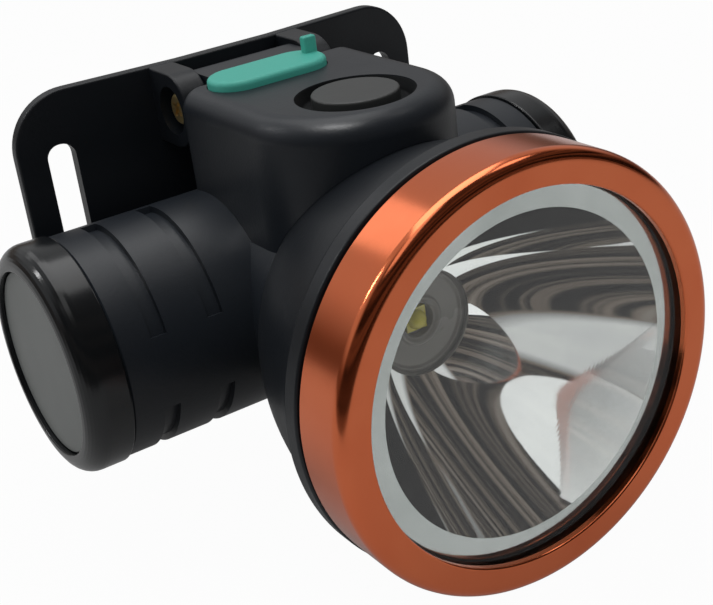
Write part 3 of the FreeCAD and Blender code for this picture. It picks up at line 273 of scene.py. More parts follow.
    @staticmethod
    def across(axis: Axis) -> Matrix:
        """Gives the matrix that lays a drawing across an axis."""
        first, second = {
            Axis.UPRIGHT: ((1.0, 0.0, 0.0), (0.0, 1.0, 0.0)),
            Axis.ALONG_BARREL: ((0.0, 1.0, 0.0), (0.0, 0.0, 1.0)),
            Axis.ALONG_LAMP: ((1.0, 0.0, 0.0), (0.0, 0.0, 1.0)),
        }[axis]
        return Matrix((first, second, tuple(axis.value))).transposed().to_4x4()

    @staticmethod
    def round_sharp(shape: bmesh.types.BMesh, size: float, steps: int,
                    keep: Optional[Callable[[Vector], bool]] = None, least: float = 50.0) -> None:
        """Rounds every edge sharper than an angle, apart from those that are kept."""
        chosen = []
        for edge in shape.edges:
            middle = (edge.verts[0].co + edge.verts[1].co) / 2
            sharp = len(edge.link_faces) == 2 and edge.calc_face_angle() > math.radians(least)
            if sharp and not (keep and keep(middle)):
                chosen.append(edge)
        Maker.bevel(shape, chosen, size, steps)

    @classmethod
    def rod(cls, name: str, radius: float, low: float, high: float, centre: Vector, axis: Axis,
            segments: int = 64) -> bpy.types.Object:
        """Makes a plain round tool, with its length counted from its centre in millimetres."""
        corners = [Corner(0.0, low), Corner(radius, low), Corner(radius, high), Corner(0.0, high)]
        return cls.turned(name, corners, centre, axis, segments, hold=False)

    @classmethod
    def stepped_rod(cls, name: str, wide: float, narrow: float, marks: Sequence[float], centre: Vector,
                    axis: Axis, segments: int) -> bpy.types.Object:
        """Makes a round tool that steps from wide to narrow at the middle one of its three marks."""
        start, step, end = marks
        corners = [
            Corner(0.0, start), Corner(wide, start), Corner(wide, step), Corner(narrow, step),
            Corner(narrow, end), Corner(0.0, end),
        ]
        return cls.turned(name, corners, centre, axis, segments, hold=False)

    @staticmethod
    def mirrored(piece: bpy.types.Object) -> bpy.types.Object:
        """Adds the piece's mirror image across the middle plane to it."""
        shape = bmesh.new()
        shape.from_mesh(piece.data)
        whole = shape.verts[:] + shape.edges[:] + shape.faces[:]
        bmesh.ops.mirror(shape, geom=whole, axis="X", merge_dist=-1.0)
        bmesh.ops.recalc_face_normals(shape, faces=shape.faces[:])
        shape.to_mesh(piece.data)
        shape.free()
        return piece

    @classmethod
    def combine(cls, piece: bpy.types.Object, tools: Iterable[bpy.types.Object], operation: str) -> None:
        """Joins tools to a piece or cuts them from it, and clears the tools away.

        Args:
            piece: The piece that is shaped.
            tools: Closed meshes.
            operation: UNION or DIFFERENCE.
        """
        for tool in tools:
            step = piece.modifiers.new("shape", "BOOLEAN")
            step.operation = operation
            step.solver = "EXACT"
            step.object = tool
            view = bpy.context.evaluated_depsgraph_get()
            result = bpy.data.meshes.new_from_object(piece.evaluated_get(view))
            piece.modifiers.clear()
            old, piece.data = piece.data, result
            bpy.data.meshes.remove(old)
            bpy.data.meshes.remove(tool.data)
            cls.clean(piece)

    @classmethod
    def clean(cls, piece: bpy.types.Object) -> None:
        """Welds a combined piece and shades it again."""
        shape = bmesh.new()
        shape.from_mesh(piece.data)
        bmesh.ops.remove_doubles(shape, verts=shape.verts[:], dist=TOLERANCE)
        bmesh.ops.dissolve_degenerate(shape, edges=shape.edges[:], dist=TOLERANCE)
        shape.to_mesh(piece.data)
        shape.free()
        piece.data.shade_smooth()
        piece.data.set_sharp_from_angle(angle=math.radians(cls.CREASE))

    @staticmethod
    def flatten_flats(piece: bpy.types.Object) -> None:
        """Weights the shading by face area, so that flats stay flat beside their rounded edges."""
        weighting = piece.modifiers.new("flat_shading", "WEIGHTED_NORMAL")
        weighting.mode = "FACE_AREA"
        weighting.weight = Maker.FLAT_WEIGHT
        weighting.keep_sharp = True


def seat(piece: bpy.types.Object, body: str, finish: bpy.types.Material,
         replaces: Iterable[str] = ()) -> bpy.types.Object:
    """Dresses a piece and gives it to its body.

    Args:
        piece: The finished object.
        body: Name of the construction body that carries it.
        finish: Material of the whole piece.
        replaces: Construction nodes that it stands for.

    Returns:
        The same piece.
    """
    piece.data.materials.clear()
    piece.data.materials.append(finish)
    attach(piece, body)
    for node in replaces:
        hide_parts(node)
    LOG.info("%s rides on %s", piece.name, body)
    return piece


def dress(node: str, finish: bpy.types.Material) -> None:
    """Gives a construction node a better material."""
    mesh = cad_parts[node].data
    mesh.materials.clear()
    mesh.materials.append(finish)


def screw_places(centre: Vector) -> list[Vector]:
    """Gives the places of the bowl's three screws round a point on the lamp axis."""
    turns = [math.radians(angle) for angle in SCREW_TURNS]
    return [centre + Vector((math.cos(turn), 0.0, math.sin(turn))) * SCREW_CIRCLE * MM for turn in turns]


# ------------------------------------------------------------------ node groups


class Tree:
    """Small helper for writing a node tree as code."""

    def __init__(self, tree: bpy.types.NodeTree) -> None:
        """Keeps the tree that is written."""
        self.tree = tree

    def add(self, kind: str, **settings: object) -> bpy.types.Node:
        """Adds a node of a kind and sets its properties."""
        node = self.tree.nodes.new(kind)
        for key, value in settings.items():
            setattr(node, key, value)
        return node

    def link(self, source: bpy.types.NodeSocket, target: bpy.types.NodeSocket) -> None:
        """Links an output socket to an input socket."""
        self.tree.links.new(source, target)

    def math(self, operation: str, *values: object) -> bpy.types.NodeSocket:
        """Adds a math node fed by numbers or sockets and gives its output."""
        node = self.add("ShaderNodeMath", operation=operation)
        for socket, value in zip(node.inputs, values):
            if isinstance(value, bpy.types.NodeSocket):
                self.link(value, socket)
            else:
                socket.default_value = value
        return node.outputs[0]

    def spread(self, value: bpy.types.NodeSocket, low: float, high: float,
               to_low: object = 0.0, to_high: object = 1.0) -> bpy.types.NodeSocket:
        """Maps a value from one range to another, clamped."""
        node = self.add("ShaderNodeMapRange")
        self.link(value, node.inputs["Value"])
        node.inputs["From Min"].default_value = low
        node.inputs["From Max"].default_value = high
        for key, bound in (("To Min", to_low), ("To Max", to_high)):
            if isinstance(bound, bpy.types.NodeSocket):
                self.link(bound, node.inputs[key])
            else:
                node.inputs[key].default_value = bound
        return node.outputs[0]


class Patterns:
    """Shader node groups that the materials share, each built once."""

    AXIS_HEIGHT = -AXIS_DROP * MM
    GRAIN_DETAIL = 3.0
    GRAIN_ROUGHNESS = 0.65
    GRAIN_SMUDGES = 55.0
    COARSE_DENSITY = 0.6
    FINE_HEIGHT = 0.7
    MARKS_DETAIL = 3.0
    MARKS_SMUDGES = 90.0
    MARKS_STRETCH = 0.2
    SMUDGE_DETAIL = 4.0
    SMUDGE_RANGE = (0.35, 0.7)
    made: dict[str, bpy.types.NodeTree] = {}

    @classmethod
    def group(cls, name: str, inputs: dict[str, float], outputs: Sequence[str],
              fill: Callable[[Tree, bpy.types.Node, bpy.types.Node], None]) -> bpy.types.NodeTree:
        """Gives a node group by name, and writes it the first time.

        Args:
            name: Name of the group.
            inputs: Input names with their default values.
            outputs: Output names.
            fill: Writes the nodes between the group's input and output.

        Returns:
            The node group.
        """
        if name not in cls.made:
            tree = bpy.data.node_groups.new(name, "ShaderNodeTree")
            for label, value in inputs.items():
                socket = tree.interface.new_socket(label, in_out="INPUT", socket_type="NodeSocketFloat")
                socket.default_value = value
            for label in outputs:
                tree.interface.new_socket(label, in_out="OUTPUT", socket_type="NodeSocketFloat")
            writer = Tree(tree)
            fill(writer, writer.add("NodeGroupInput"), writer.add("NodeGroupOutput"))
            cls.made[name] = tree
        return cls.made[name]

    @classmethod
    def smudges(cls, tree: Tree, place: bpy.types.NodeSocket, scale: float) -> bpy.types.NodeSocket:
        """Gives a mask of slow smudges."""
        smudge = tree.add("ShaderNodeTexNoise")
        smudge.inputs["Scale"].default_value = scale
        smudge.inputs["Detail"].default_value = cls.SMUDGE_DETAIL
        tree.link(place, smudge.inputs["Vector"])
        return tree.spread(smudge.outputs["Fac"], *cls.SMUDGE_RANGE)

    @classmethod
    def moulded_grain(cls) -> bpy.types.NodeTree:
        """Fine spark-eroded texture of a moulding, with slow smudges over it."""
        def fill(tree: Tree, source: bpy.types.Node, sink: bpy.types.Node) -> None:
            """Writes fine grain, coarse grain and smudges."""
            place = tree.add("ShaderNodeTexCoord").outputs["Object"]
            fine = tree.add("ShaderNodeTexNoise")
            fine.inputs["Detail"].default_value = cls.GRAIN_DETAIL
            fine.inputs["Roughness"].default_value = cls.GRAIN_ROUGHNESS
            coarse = tree.add("ShaderNodeTexVoronoi", feature="SMOOTH_F1")
            for texture in (fine, coarse):
                tree.link(place, texture.inputs["Vector"])
            density = source.outputs["Density"]
            tree.link(density, fine.inputs["Scale"])
            tree.link(tree.math("MULTIPLY", density, cls.COARSE_DENSITY), coarse.inputs["Scale"])
            finer = tree.math("MULTIPLY", fine.outputs["Fac"], cls.FINE_HEIGHT)
            tree.link(tree.math("ADD", finer, coarse.outputs["Distance"]), sink.inputs["Height"])
            tree.link(fine.outputs["Fac"], sink.inputs["Speck"])
            tree.link(cls.smudges(tree, place, cls.GRAIN_SMUDGES), sink.inputs["Smudge"])
        return cls.group("moulded_grain", {"Density": 4000.0}, ("Height", "Speck", "Smudge"), fill)

    @classmethod
    def turning_marks(cls) -> bpy.types.NodeTree:
        """Fine tool marks round a turned piece, read from the piece's distance to the lamp axis."""
        def fill(tree: Tree, source: bpy.types.Node, sink: bpy.types.Node) -> None:
            """Writes rings by radius and by place along the axis."""
            place = tree.add("ShaderNodeTexCoord").outputs["Object"]
            split = tree.add("ShaderNodeSeparateXYZ")
            tree.link(place, split.inputs[0])
            up = tree.math("SUBTRACT", split.outputs["Z"], source.outputs["Axis Height"])
            across = tree.math("POWER", split.outputs["X"], 2.0)
            radius = tree.math("SQRT", tree.math("ADD", across, tree.math("POWER", up, 2.0)))
            ring = tree.math("ADD", radius, split.outputs["Y"])
            line = tree.add("ShaderNodeCombineXYZ")
            tree.link(ring, line.inputs["X"])
            tree.link(tree.math("MULTIPLY", radius, cls.MARKS_STRETCH), line.inputs["Y"])
            marks = tree.add("ShaderNodeTexNoise")
            marks.inputs["Detail"].default_value = cls.MARKS_DETAIL
            tree.link(source.outputs["Density"], marks.inputs["Scale"])
            tree.link(line.outputs[0], marks.inputs["Vector"])
            tree.link(marks.outputs["Fac"], sink.inputs["Height"])
            tree.link(cls.smudges(tree, place, cls.MARKS_SMUDGES), sink.inputs["Smudge"])
        inputs = {"Density": 6000.0, "Axis Height": cls.AXIS_HEIGHT}
        return cls.group("turning_marks", inputs, ("Height", "Smudge"), fill)


# ------------------------------------------------------------------ finishes


def new_material(name: str) -> tuple[bpy.types.Material, Tree, bpy.types.Node]:
    """Starts a material and gives it, its tree and its principled shader."""
    material = bpy.data.materials.new(name)
    material.use_nodes = True
    tree = Tree(material.node_tree)
    shader = next(node for node in material.node_tree.nodes if node.type == "BSDF_PRINCIPLED")
    return material, tree, shader


def place_group(tree: Tree, group: bpy.types.NodeTree, **values: float) -> bpy.types.Node:
    """Places a node group in a material with its own values."""
    node = tree.add("ShaderNodeGroup", node_tree=group)
    for key, value in values.items():
        node.inputs[key.replace("_", " ").title()].default_value = value
    return node


def add_bump(tree: Tree, shader: bpy.types.Node, height: bpy.types.NodeSocket, strength: float,
             depth: float) -> None:
    """Feeds a height into the shader's normal through a bump node."""
    bump = tree.add("ShaderNodeBump")
    bump.inputs["Strength"].default_value = strength
    bump.inputs["Distance"].default_value = depth
    tree.link(height, bump.inputs["Height"])
    tree.link(bump.outputs[0], shader.inputs["Normal"])


def mix_colours(tree: Tree, share: bpy.types.NodeSocket, first: Sequence[float],
                second: Sequence[float]) -> bpy.types.NodeSocket:
    """Mixes two colours by a mask and gives the colour."""
    node = tree.add("ShaderNodeMix", data_type="RGBA")
    tree.link(share, node.inputs["Factor"])
    node.inputs["A"].default_value = (*first, 1.0)
    node.inputs["B"].default_value = (*second, 1.0)
    return node.outputs["Result"]


@dataclass(frozen=True)
class MouldedPlastic:
    """Textured moulding or rubber: two near colours, a roughness range and a grain."""

    name: str
    dark: tuple[float, float, float]
    light: tuple[float, float, float]
    smooth: float
    rough: float
    density: float = 4000.0
    bump: float = 0.35
    depth: float = 0.00003
    specular: float = 0.5

    def material(self) -> bpy.types.Material:
        """Builds the material."""
        material, tree, shader = new_material(self.name)
        grain = place_group(tree, Patterns.moulded_grain(), density=self.density)
        colour = mix_colours(tree, grain.outputs["Speck"], self.dark, self.light)
        tree.link(colour, shader.inputs["Base Color"])
        roughness = tree.spread(grain.outputs["Smudge"], 0.0, 1.0, self.smooth, self.rough)
        tree.link(roughness, shader.inputs["Roughness"])
        shader.inputs["Specular IOR Level"].default_value = self.specular
        add_bump(tree, shader, grain.outputs["Height"], self.bump, self.depth)
        return material


@dataclass(frozen=True)
class TurnedMetal:
    """Turned or coated metal with fine rings and slow smudges."""

    name: str
    colour: tuple[float, float, float]
    deep: tuple[float, float, float]
    smooth: float
    rough: float
    marks: float = 0.2
    density: float = 6000.0
    depth: float = 0.00001

    def material(self) -> bpy.types.Material:
        """Builds the material."""
        material, tree, shader = new_material(self.name)
        group = place_group(tree, Patterns.turning_marks(), density=self.density)
        colour = mix_colours(tree, group.outputs["Smudge"], self.colour, self.deep)
        tree.link(colour, shader.inputs["Base Color"])
        roughness = tree.spread(group.outputs["Smudge"], 0.0, 1.0, self.smooth, self.rough)
        tree.link(roughness, shader.inputs["Roughness"])
        shader.inputs["Metallic"].default_value = 1.0
        add_bump(tree, shader, group.outputs["Height"], self.marks, self.depth)
        return material


@dataclass(frozen=True)
class ClearGlass:
    """Clear moulded lens."""

    name: str = "clear_lens"
    tint: tuple[float, float, float] = (0.98, 0.99, 0.985)
    bending: float = 1.40

    def material(self) -> bpy.types.Material:
        """Builds the material."""
        material, _, shader = new_material(self.name)
        shader.inputs["Base Color"].default_value = (*self.tint, 1.0)
        shader.inputs["Roughness"].default_value = 0.0
        shader.inputs["IOR"].default_value = self.bending
        shader.inputs["Transmission Weight"].default_value = 1.0
        material.use_raytrace_refraction = True
        return material


@dataclass(frozen=True)
class Palette:
    """All finishes of the lamp."""

    black: MouldedPlastic = MouldedPlastic(
        "black_moulding", (0.0065, 0.0085, 0.0115), (0.0100, 0.0125, 0.0165), 0.34, 0.44, specular=0.34)
    cap: MouldedPlastic = MouldedPlastic(
        "cap_moulding", (0.0040, 0.0050, 0.0062), (0.0075, 0.0090, 0.0105), 0.17, 0.24, bump=0.1,
        specular=0.42)
    # The collar is darker than the housing's black and barely shiny: painted shade for the deep recess round
    # the button, where little light reaches.
    collar: MouldedPlastic = MouldedPlastic(
        "collar_painted_shade", (0.0030, 0.0036, 0.0042), (0.005, 0.006, 0.007), 0.5, 0.6, specular=0.10)
    trim: MouldedPlastic = MouldedPlastic(
        "grey_trim", (0.030, 0.032, 0.032), (0.042, 0.045, 0.045), 0.40, 0.50, density=5000.0)
    disc: MouldedPlastic = MouldedPlastic(
        "cap_disc_grey", (0.155, 0.165, 0.160), (0.185, 0.195, 0.19), 0.45, 0.55, density=5000.0)
    copper: TurnedMetal = TurnedMetal(
        "copper_bezel", (0.80, 0.205, 0.088), (0.76, 0.180, 0.075), 0.14, 0.19)
    mirror: TurnedMetal = TurnedMetal(
        "mirror_coat", (0.88, 0.89, 0.88), (0.82, 0.83, 0.83), 0.02, 0.05, marks=0.05, density=900.0)
    rim: TurnedMetal = TurnedMetal(
        "reflector_rim", (0.37, 0.39, 0.38), (0.30, 0.32, 0.31), 0.08, 0.14)
    brass: TurnedMetal = TurnedMetal("plated_brass", (0.95, 0.74, 0.36), (0.80, 0.60, 0.28), 0.38, 0.48)
    steel: TurnedMetal = TurnedMetal("spring_steel", (0.62, 0.62, 0.62), (0.5, 0.5, 0.5), 0.25, 0.35)
    aluminium: TurnedMetal = TurnedMetal("bare_aluminium", (0.75, 0.76, 0.77), (0.66, 0.67, 0.68), 0.3, 0.4)
    teal: MouldedPlastic = MouldedPlastic(
        "teal_rubber", (0.050, 0.40, 0.32), (0.070, 0.46, 0.37), 0.45, 0.60, density=3000.0, bump=0.2)
    rubber: MouldedPlastic = MouldedPlastic(
        "black_rubber", (0.012, 0.012, 0.012), (0.02, 0.02, 0.02), 0.6, 0.75)
    sleeve: MouldedPlastic = MouldedPlastic(
        "cell_sleeve", (0.03, 0.07, 0.2), (0.04, 0.09, 0.24), 0.25, 0.3, bump=0.05)
    board: MouldedPlastic = MouldedPlastic(
        "circuit_board", (0.01, 0.10, 0.04), (0.02, 0.14, 0.06), 0.3, 0.4, bump=0.1)
    pale: MouldedPlastic = MouldedPlastic(
        "white_board", (0.16, 0.145, 0.125), (0.20, 0.185, 0.16), 0.45, 0.55, bump=0.1)
    dome: MouldedPlastic = MouldedPlastic(
        "emitter_phosphor", (0.62, 0.54, 0.03), (0.74, 0.64, 0.05), 0.05, 0.10, density=2500.0, bump=0.05)
    holder: MouldedPlastic = MouldedPlastic(
        "holder_grey", (0.17, 0.160, 0.140), (0.22, 0.205, 0.180), 0.25, 0.35, density=2500.0, bump=0.1)
    wire: MouldedPlastic = MouldedPlastic(
        "wire_insulation", (0.35, 0.02, 0.015), (0.4, 0.03, 0.02), 0.35, 0.45, bump=0.1)
    glass: ClearGlass = ClearGlass()


# ------------------------------------------------------------------ sub-assemblies


@dataclass
class LampHead:
    """Bezel, seals, bowl, lens, reflector and light source on the lamp axis."""

    body: str = "head"
    bezel_round: float = 1.8
    window_radius: float = 26.3
    window_edge: float = 0.35
    rear_edge: float = 0.25
    lip_depth: float = 1.2
    lip_edge: float = 0.2
    lens_radius: float = 27.8
    lens_thickness: float = 1.8
    lens_play: float = 0.02
    lens_edge: float = 0.2
    seat_play: float = 0.2
    flange_thickness: float = 1.2
    spigot_radius: float = 28.5
    thread_play: float = 0.1
    seal_thickness: float = 0.5
    rim_radius: float = 31.2
    rim_length: float = 3.0
    rim_front_edge: float = 0.4
    rim_rear_edge: float = 0.5
    bowl_front_radius: float = 29.4
    bowl_bulge: float = 1.9
    bulge_lean: tuple[float, float] = (0.94, 0.34)
    bulge_steps: int = 24
    neck_radius: float = NECK_RADIUS
    bowl_depth: float = 38.0
    bowl_wall: float = 3.0
    bowl_hole: float = 12.0
    bowl_inside: tuple[tuple[float, float], ...] = ((17.95, 30.9), (22.2, 27.9), (25.2, 15.9))
    screw_head: float = 2.25
    screw_radius: float = 1.3
    screw_marks: tuple[float, float, float] = (34.0, 36.6, 39.0)
    mouth_radius: float = 22.9
    mouth_step: float = 0.35
    throat_radius: float = 8.1
    throat_length: float = 0.8
    throat_outside: float = 9.4
    reflector_depth: float = 23.6
    reflector_rim: float = 26.2
    reflector_edge: float = 0.15
    reflector_steps: int = 64
    shell_stride: int = 4
    shell_wall: tuple[float, float] = (0.55, 0.5)
    holder_rings: tuple[tuple[float, float, float], ...] = (
        (2.6, 0.5, 0.1), (2.9, 0.4, 0.1), (3.3, 0.0, 0.12), (3.6, 0.0, 0.12), (3.9, 0.4, 0.15),
        (7.0, 0.4, 0.15), (7.3, 0.0, 0.12), (7.6, 0.0, 0.12), (7.8, 0.35, 0.1),
    )
    source_base: float = 0.8
    dome_margin: float = 0.25
    dome_root: float = 0.4
    dome_turn: int = 10
    front: Vector = field(init=False)
    bezel_radius: float = field(init=False)
    bezel_length: float = field(init=False)

    def __post_init__(self) -> None:
        """Reads the lamp axis and the bezel's size from the construction model."""
        low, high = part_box("bezel_ring")
        self.front = Vector(((low.x + high.x) / 2, low.y, (low.z + high.z) / 2))
        self.bezel_radius = (high.x - low.x) / 2 / MM
        self.bezel_length = (high.y - low.y) / MM

    @property
    def lens_back(self) -> float:
        """Distance from the bezel front to the lens's rear face."""
        return self.lip_depth + self.lens_thickness

    def build(self, palette: Palette) -> None:
        """Builds and dresses every piece on the lamp axis."""
        self.build_bezel(palette)
        self.build_bowl(palette)
        self.build_lens(palette)
        self.build_reflector(palette)
        self.build_holder(palette)
        self.build_source(palette)
        for node, finish in (
            ("bezel_seal", palette.rubber), ("lens_gasket", palette.rubber), ("led_board", palette.pale),
            ("heat_sink", palette.aluminium),
        ):
            dress(node, finish.material())

    def build_bezel(self, palette: Palette) -> None:
        """Turned bezel ring with a rounded front edge."""
        inner = self.spigot_radius + self.thread_play
        seat_radius = self.lens_radius + self.seat_play
        seat_back = self.lens_back + self.flange_thickness
        corners = [
            Corner(self.window_radius, 0.0, self.window_edge),
            Corner(self.bezel_radius, 0.0, self.bezel_round),
            Corner(self.bezel_radius, self.bezel_length, self.rear_edge),
            Corner(inner, self.bezel_length),
            Corner(inner, seat_back),
            Corner(seat_radius, seat_back),
            Corner(seat_radius, self.lip_depth),
            Corner(self.window_radius, self.lip_depth, self.lip_edge),
        ]
        ring = Maker.turned("bezel", corners, self.front, Axis.ALONG_LAMP, segments=240, steps=8)
        seat(ring, self.body, palette.copper.material(), ["bezel_ring"])

    def build_bowl(self, palette: Palette) -> None:
        """Bowl with its rim flange, its flared side and its screw ways."""
        rim_front = self.bezel_length + self.seal_thickness
        rim_back = rim_front + self.rim_length
        flange_back = self.lens_back + self.flange_thickness
        inside = [Corner(radius, along) for radius, along in self.bowl_inside]
        corners = [
            Corner(inside[-1].radius, flange_back),
            Corner(self.spigot_radius, flange_back),
            Corner(self.spigot_radius, rim_front),
            Corner(self.rim_radius, rim_front, self.rim_front_edge),
            Corner(self.rim_radius, rim_back, self.rim_rear_edge),
            *self.flare(rim_back),
            Corner(self.bowl_hole, self.bowl_depth),
            Corner(self.bowl_hole, self.bowl_depth - self.bowl_wall),
            Corner(inside[0].radius, self.bowl_depth - self.bowl_wall),
            *inside,
        ]
        bowl = Maker.turned("bowl", corners, self.front, Axis.ALONG_LAMP, segments=200)
        Maker.combine(bowl, [
            Maker.stepped_rod("way", self.screw_head, self.screw_radius, self.screw_marks, centre,
                              Axis.ALONG_LAMP, segments=32)
            for centre in screw_places(self.front)
        ], "DIFFERENCE")
        seat(bowl, self.body, palette.black.material(), ["lamp_bowl"])

    def flare(self, rim_back: float) -> list[Corner]:
        """Gives the points of the bowl's bulging side, from its rim to its neck."""
        outward, backward = self.bulge_lean
        points = []
        for step in range(self.bulge_steps + 1):
            share = step / self.bulge_steps
            radius = self.bowl_front_radius + (self.neck_radius - self.bowl_front_radius) * share
            along = rim_back + (self.bowl_depth - rim_back) * share
            swell = self.bowl_bulge * 4.0 * share * (1.0 - share)
            points.append(Corner(radius + swell * outward, along + swell * backward))
        return points

    def build_lens(self, palette: Palette) -> None:
        """Flat clear lens with small rounded edges."""
        low, high = self.lip_depth + self.lens_play, self.lens_back - self.lens_play
        corners = [
            Corner(0.0, low), Corner(self.lens_radius, low, self.lens_edge),
            Corner(self.lens_radius, high, self.lens_edge), Corner(0.0, high),
        ]
        lens = Maker.turned("lens", corners, self.front, Axis.ALONG_LAMP, segments=160, steps=2)
        seat(lens, self.body, palette.glass.material(), ["front_lens"])

    def parabola(self, radius: float) -> float:
        """Gives the place along the axis of the reflecting surface at a radius."""
        slope = (self.mouth_radius ** 2 - self.throat_radius ** 2) / self.reflector_depth
        return self.lens_back + (self.mouth_radius ** 2 - radius ** 2) / slope

    def build_reflector(self, palette: Palette) -> None:
        """Paraboloid shell with its flat rim and throat."""
        steps = self.reflector_steps
        narrowing = self.throat_radius - self.mouth_radius
        radii = [self.mouth_radius + narrowing * i / steps for i in range(steps + 1)]
        inner = [Corner(radius, self.parabola(radius)) for radius in radii]
        outward, backward = self.shell_wall
        coarse = reversed(radii[:-1:self.shell_stride])
        outer = [Corner(radius + outward, self.parabola(radius) + backward) for radius in coarse]
        end = self.lens_back + self.reflector_depth + self.throat_length
        rim_back = self.lens_back + self.flange_thickness
        corners = [
            Corner(self.reflector_rim, self.lens_back, self.reflector_edge),
            *inner,
            Corner(self.throat_radius, end),
            Corner(self.throat_outside, end),
            *outer[1:-1],
            Corner(self.mouth_radius + self.mouth_step, rim_back),
            Corner(self.reflector_rim, rim_back),
        ]
        shell = Maker.turned(
            "reflector_shell", corners, self.front, Axis.ALONG_LAMP, segments=360, crease=40.0)
        seat(shell, self.body, palette.mirror.material(), ["reflector"])
        shell.data.materials.append(palette.rim.material())
        for face in shell.data.polygons:
            reach = math.hypot(face.center.x - self.front.x, face.center.z - self.front.z)
            face.material_index = int(reach > self.mouth_radius * MM)

    def build_holder(self, palette: Palette) -> None:
        """Disc with its raised rings round the light source."""
        low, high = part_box("led_holder")
        front, back = (low.y - self.front.y) / MM, (high.y - self.front.y) / MM
        reach = (high.x - low.x) / 2 / MM
        rings = [Corner(radius, front + rise, rounding) for radius, rise, rounding in self.holder_rings]
        corners = [
            Corner(rings[0].radius, back), *rings, Corner(reach, rings[-1].along), Corner(reach, back),
        ]
        disc = Maker.turned("source_disc", corners, self.front, Axis.ALONG_LAMP, segments=160)
        seat(disc, self.body, palette.holder.material(), ["led_holder"])

    def build_source(self, palette: Palette) -> None:
        """Square light source with its dome."""
        low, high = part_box("led_emitter")
        half = (high.x - low.x) / 2 / MM
        centre = self.front.z / MM
        corners = [Corner(x * half, centre + z * half) for x, z in ((-1, -1), (1, -1), (1, 1), (-1, 1))]
        rear = high.y / MM
        source = Maker.prism("source", corners, rear - self.source_base, rear, Axis.ALONG_LAMP)
        radius = half - self.dome_margin
        tall = (high.y - low.y) / MM - self.source_base
        rise = [
            Corner(radius * math.cos(math.radians(angle)), -tall * math.sin(math.radians(angle)))
            for angle in range(0, 90, self.dome_turn)
        ]
        middle = Vector((0.0, high.y - self.source_base * MM, self.front.z))
        outline = [Corner(0.0, self.dome_root), Corner(radius, self.dome_root), *rise, Corner(0.0, -tall)]
        dome = Maker.turned("dome", outline, middle, Axis.ALONG_LAMP, segments=64)
        Maker.combine(source, [dome], "UNION")
        seat(source, self.body, palette.dome.material(), ["led_emitter"])


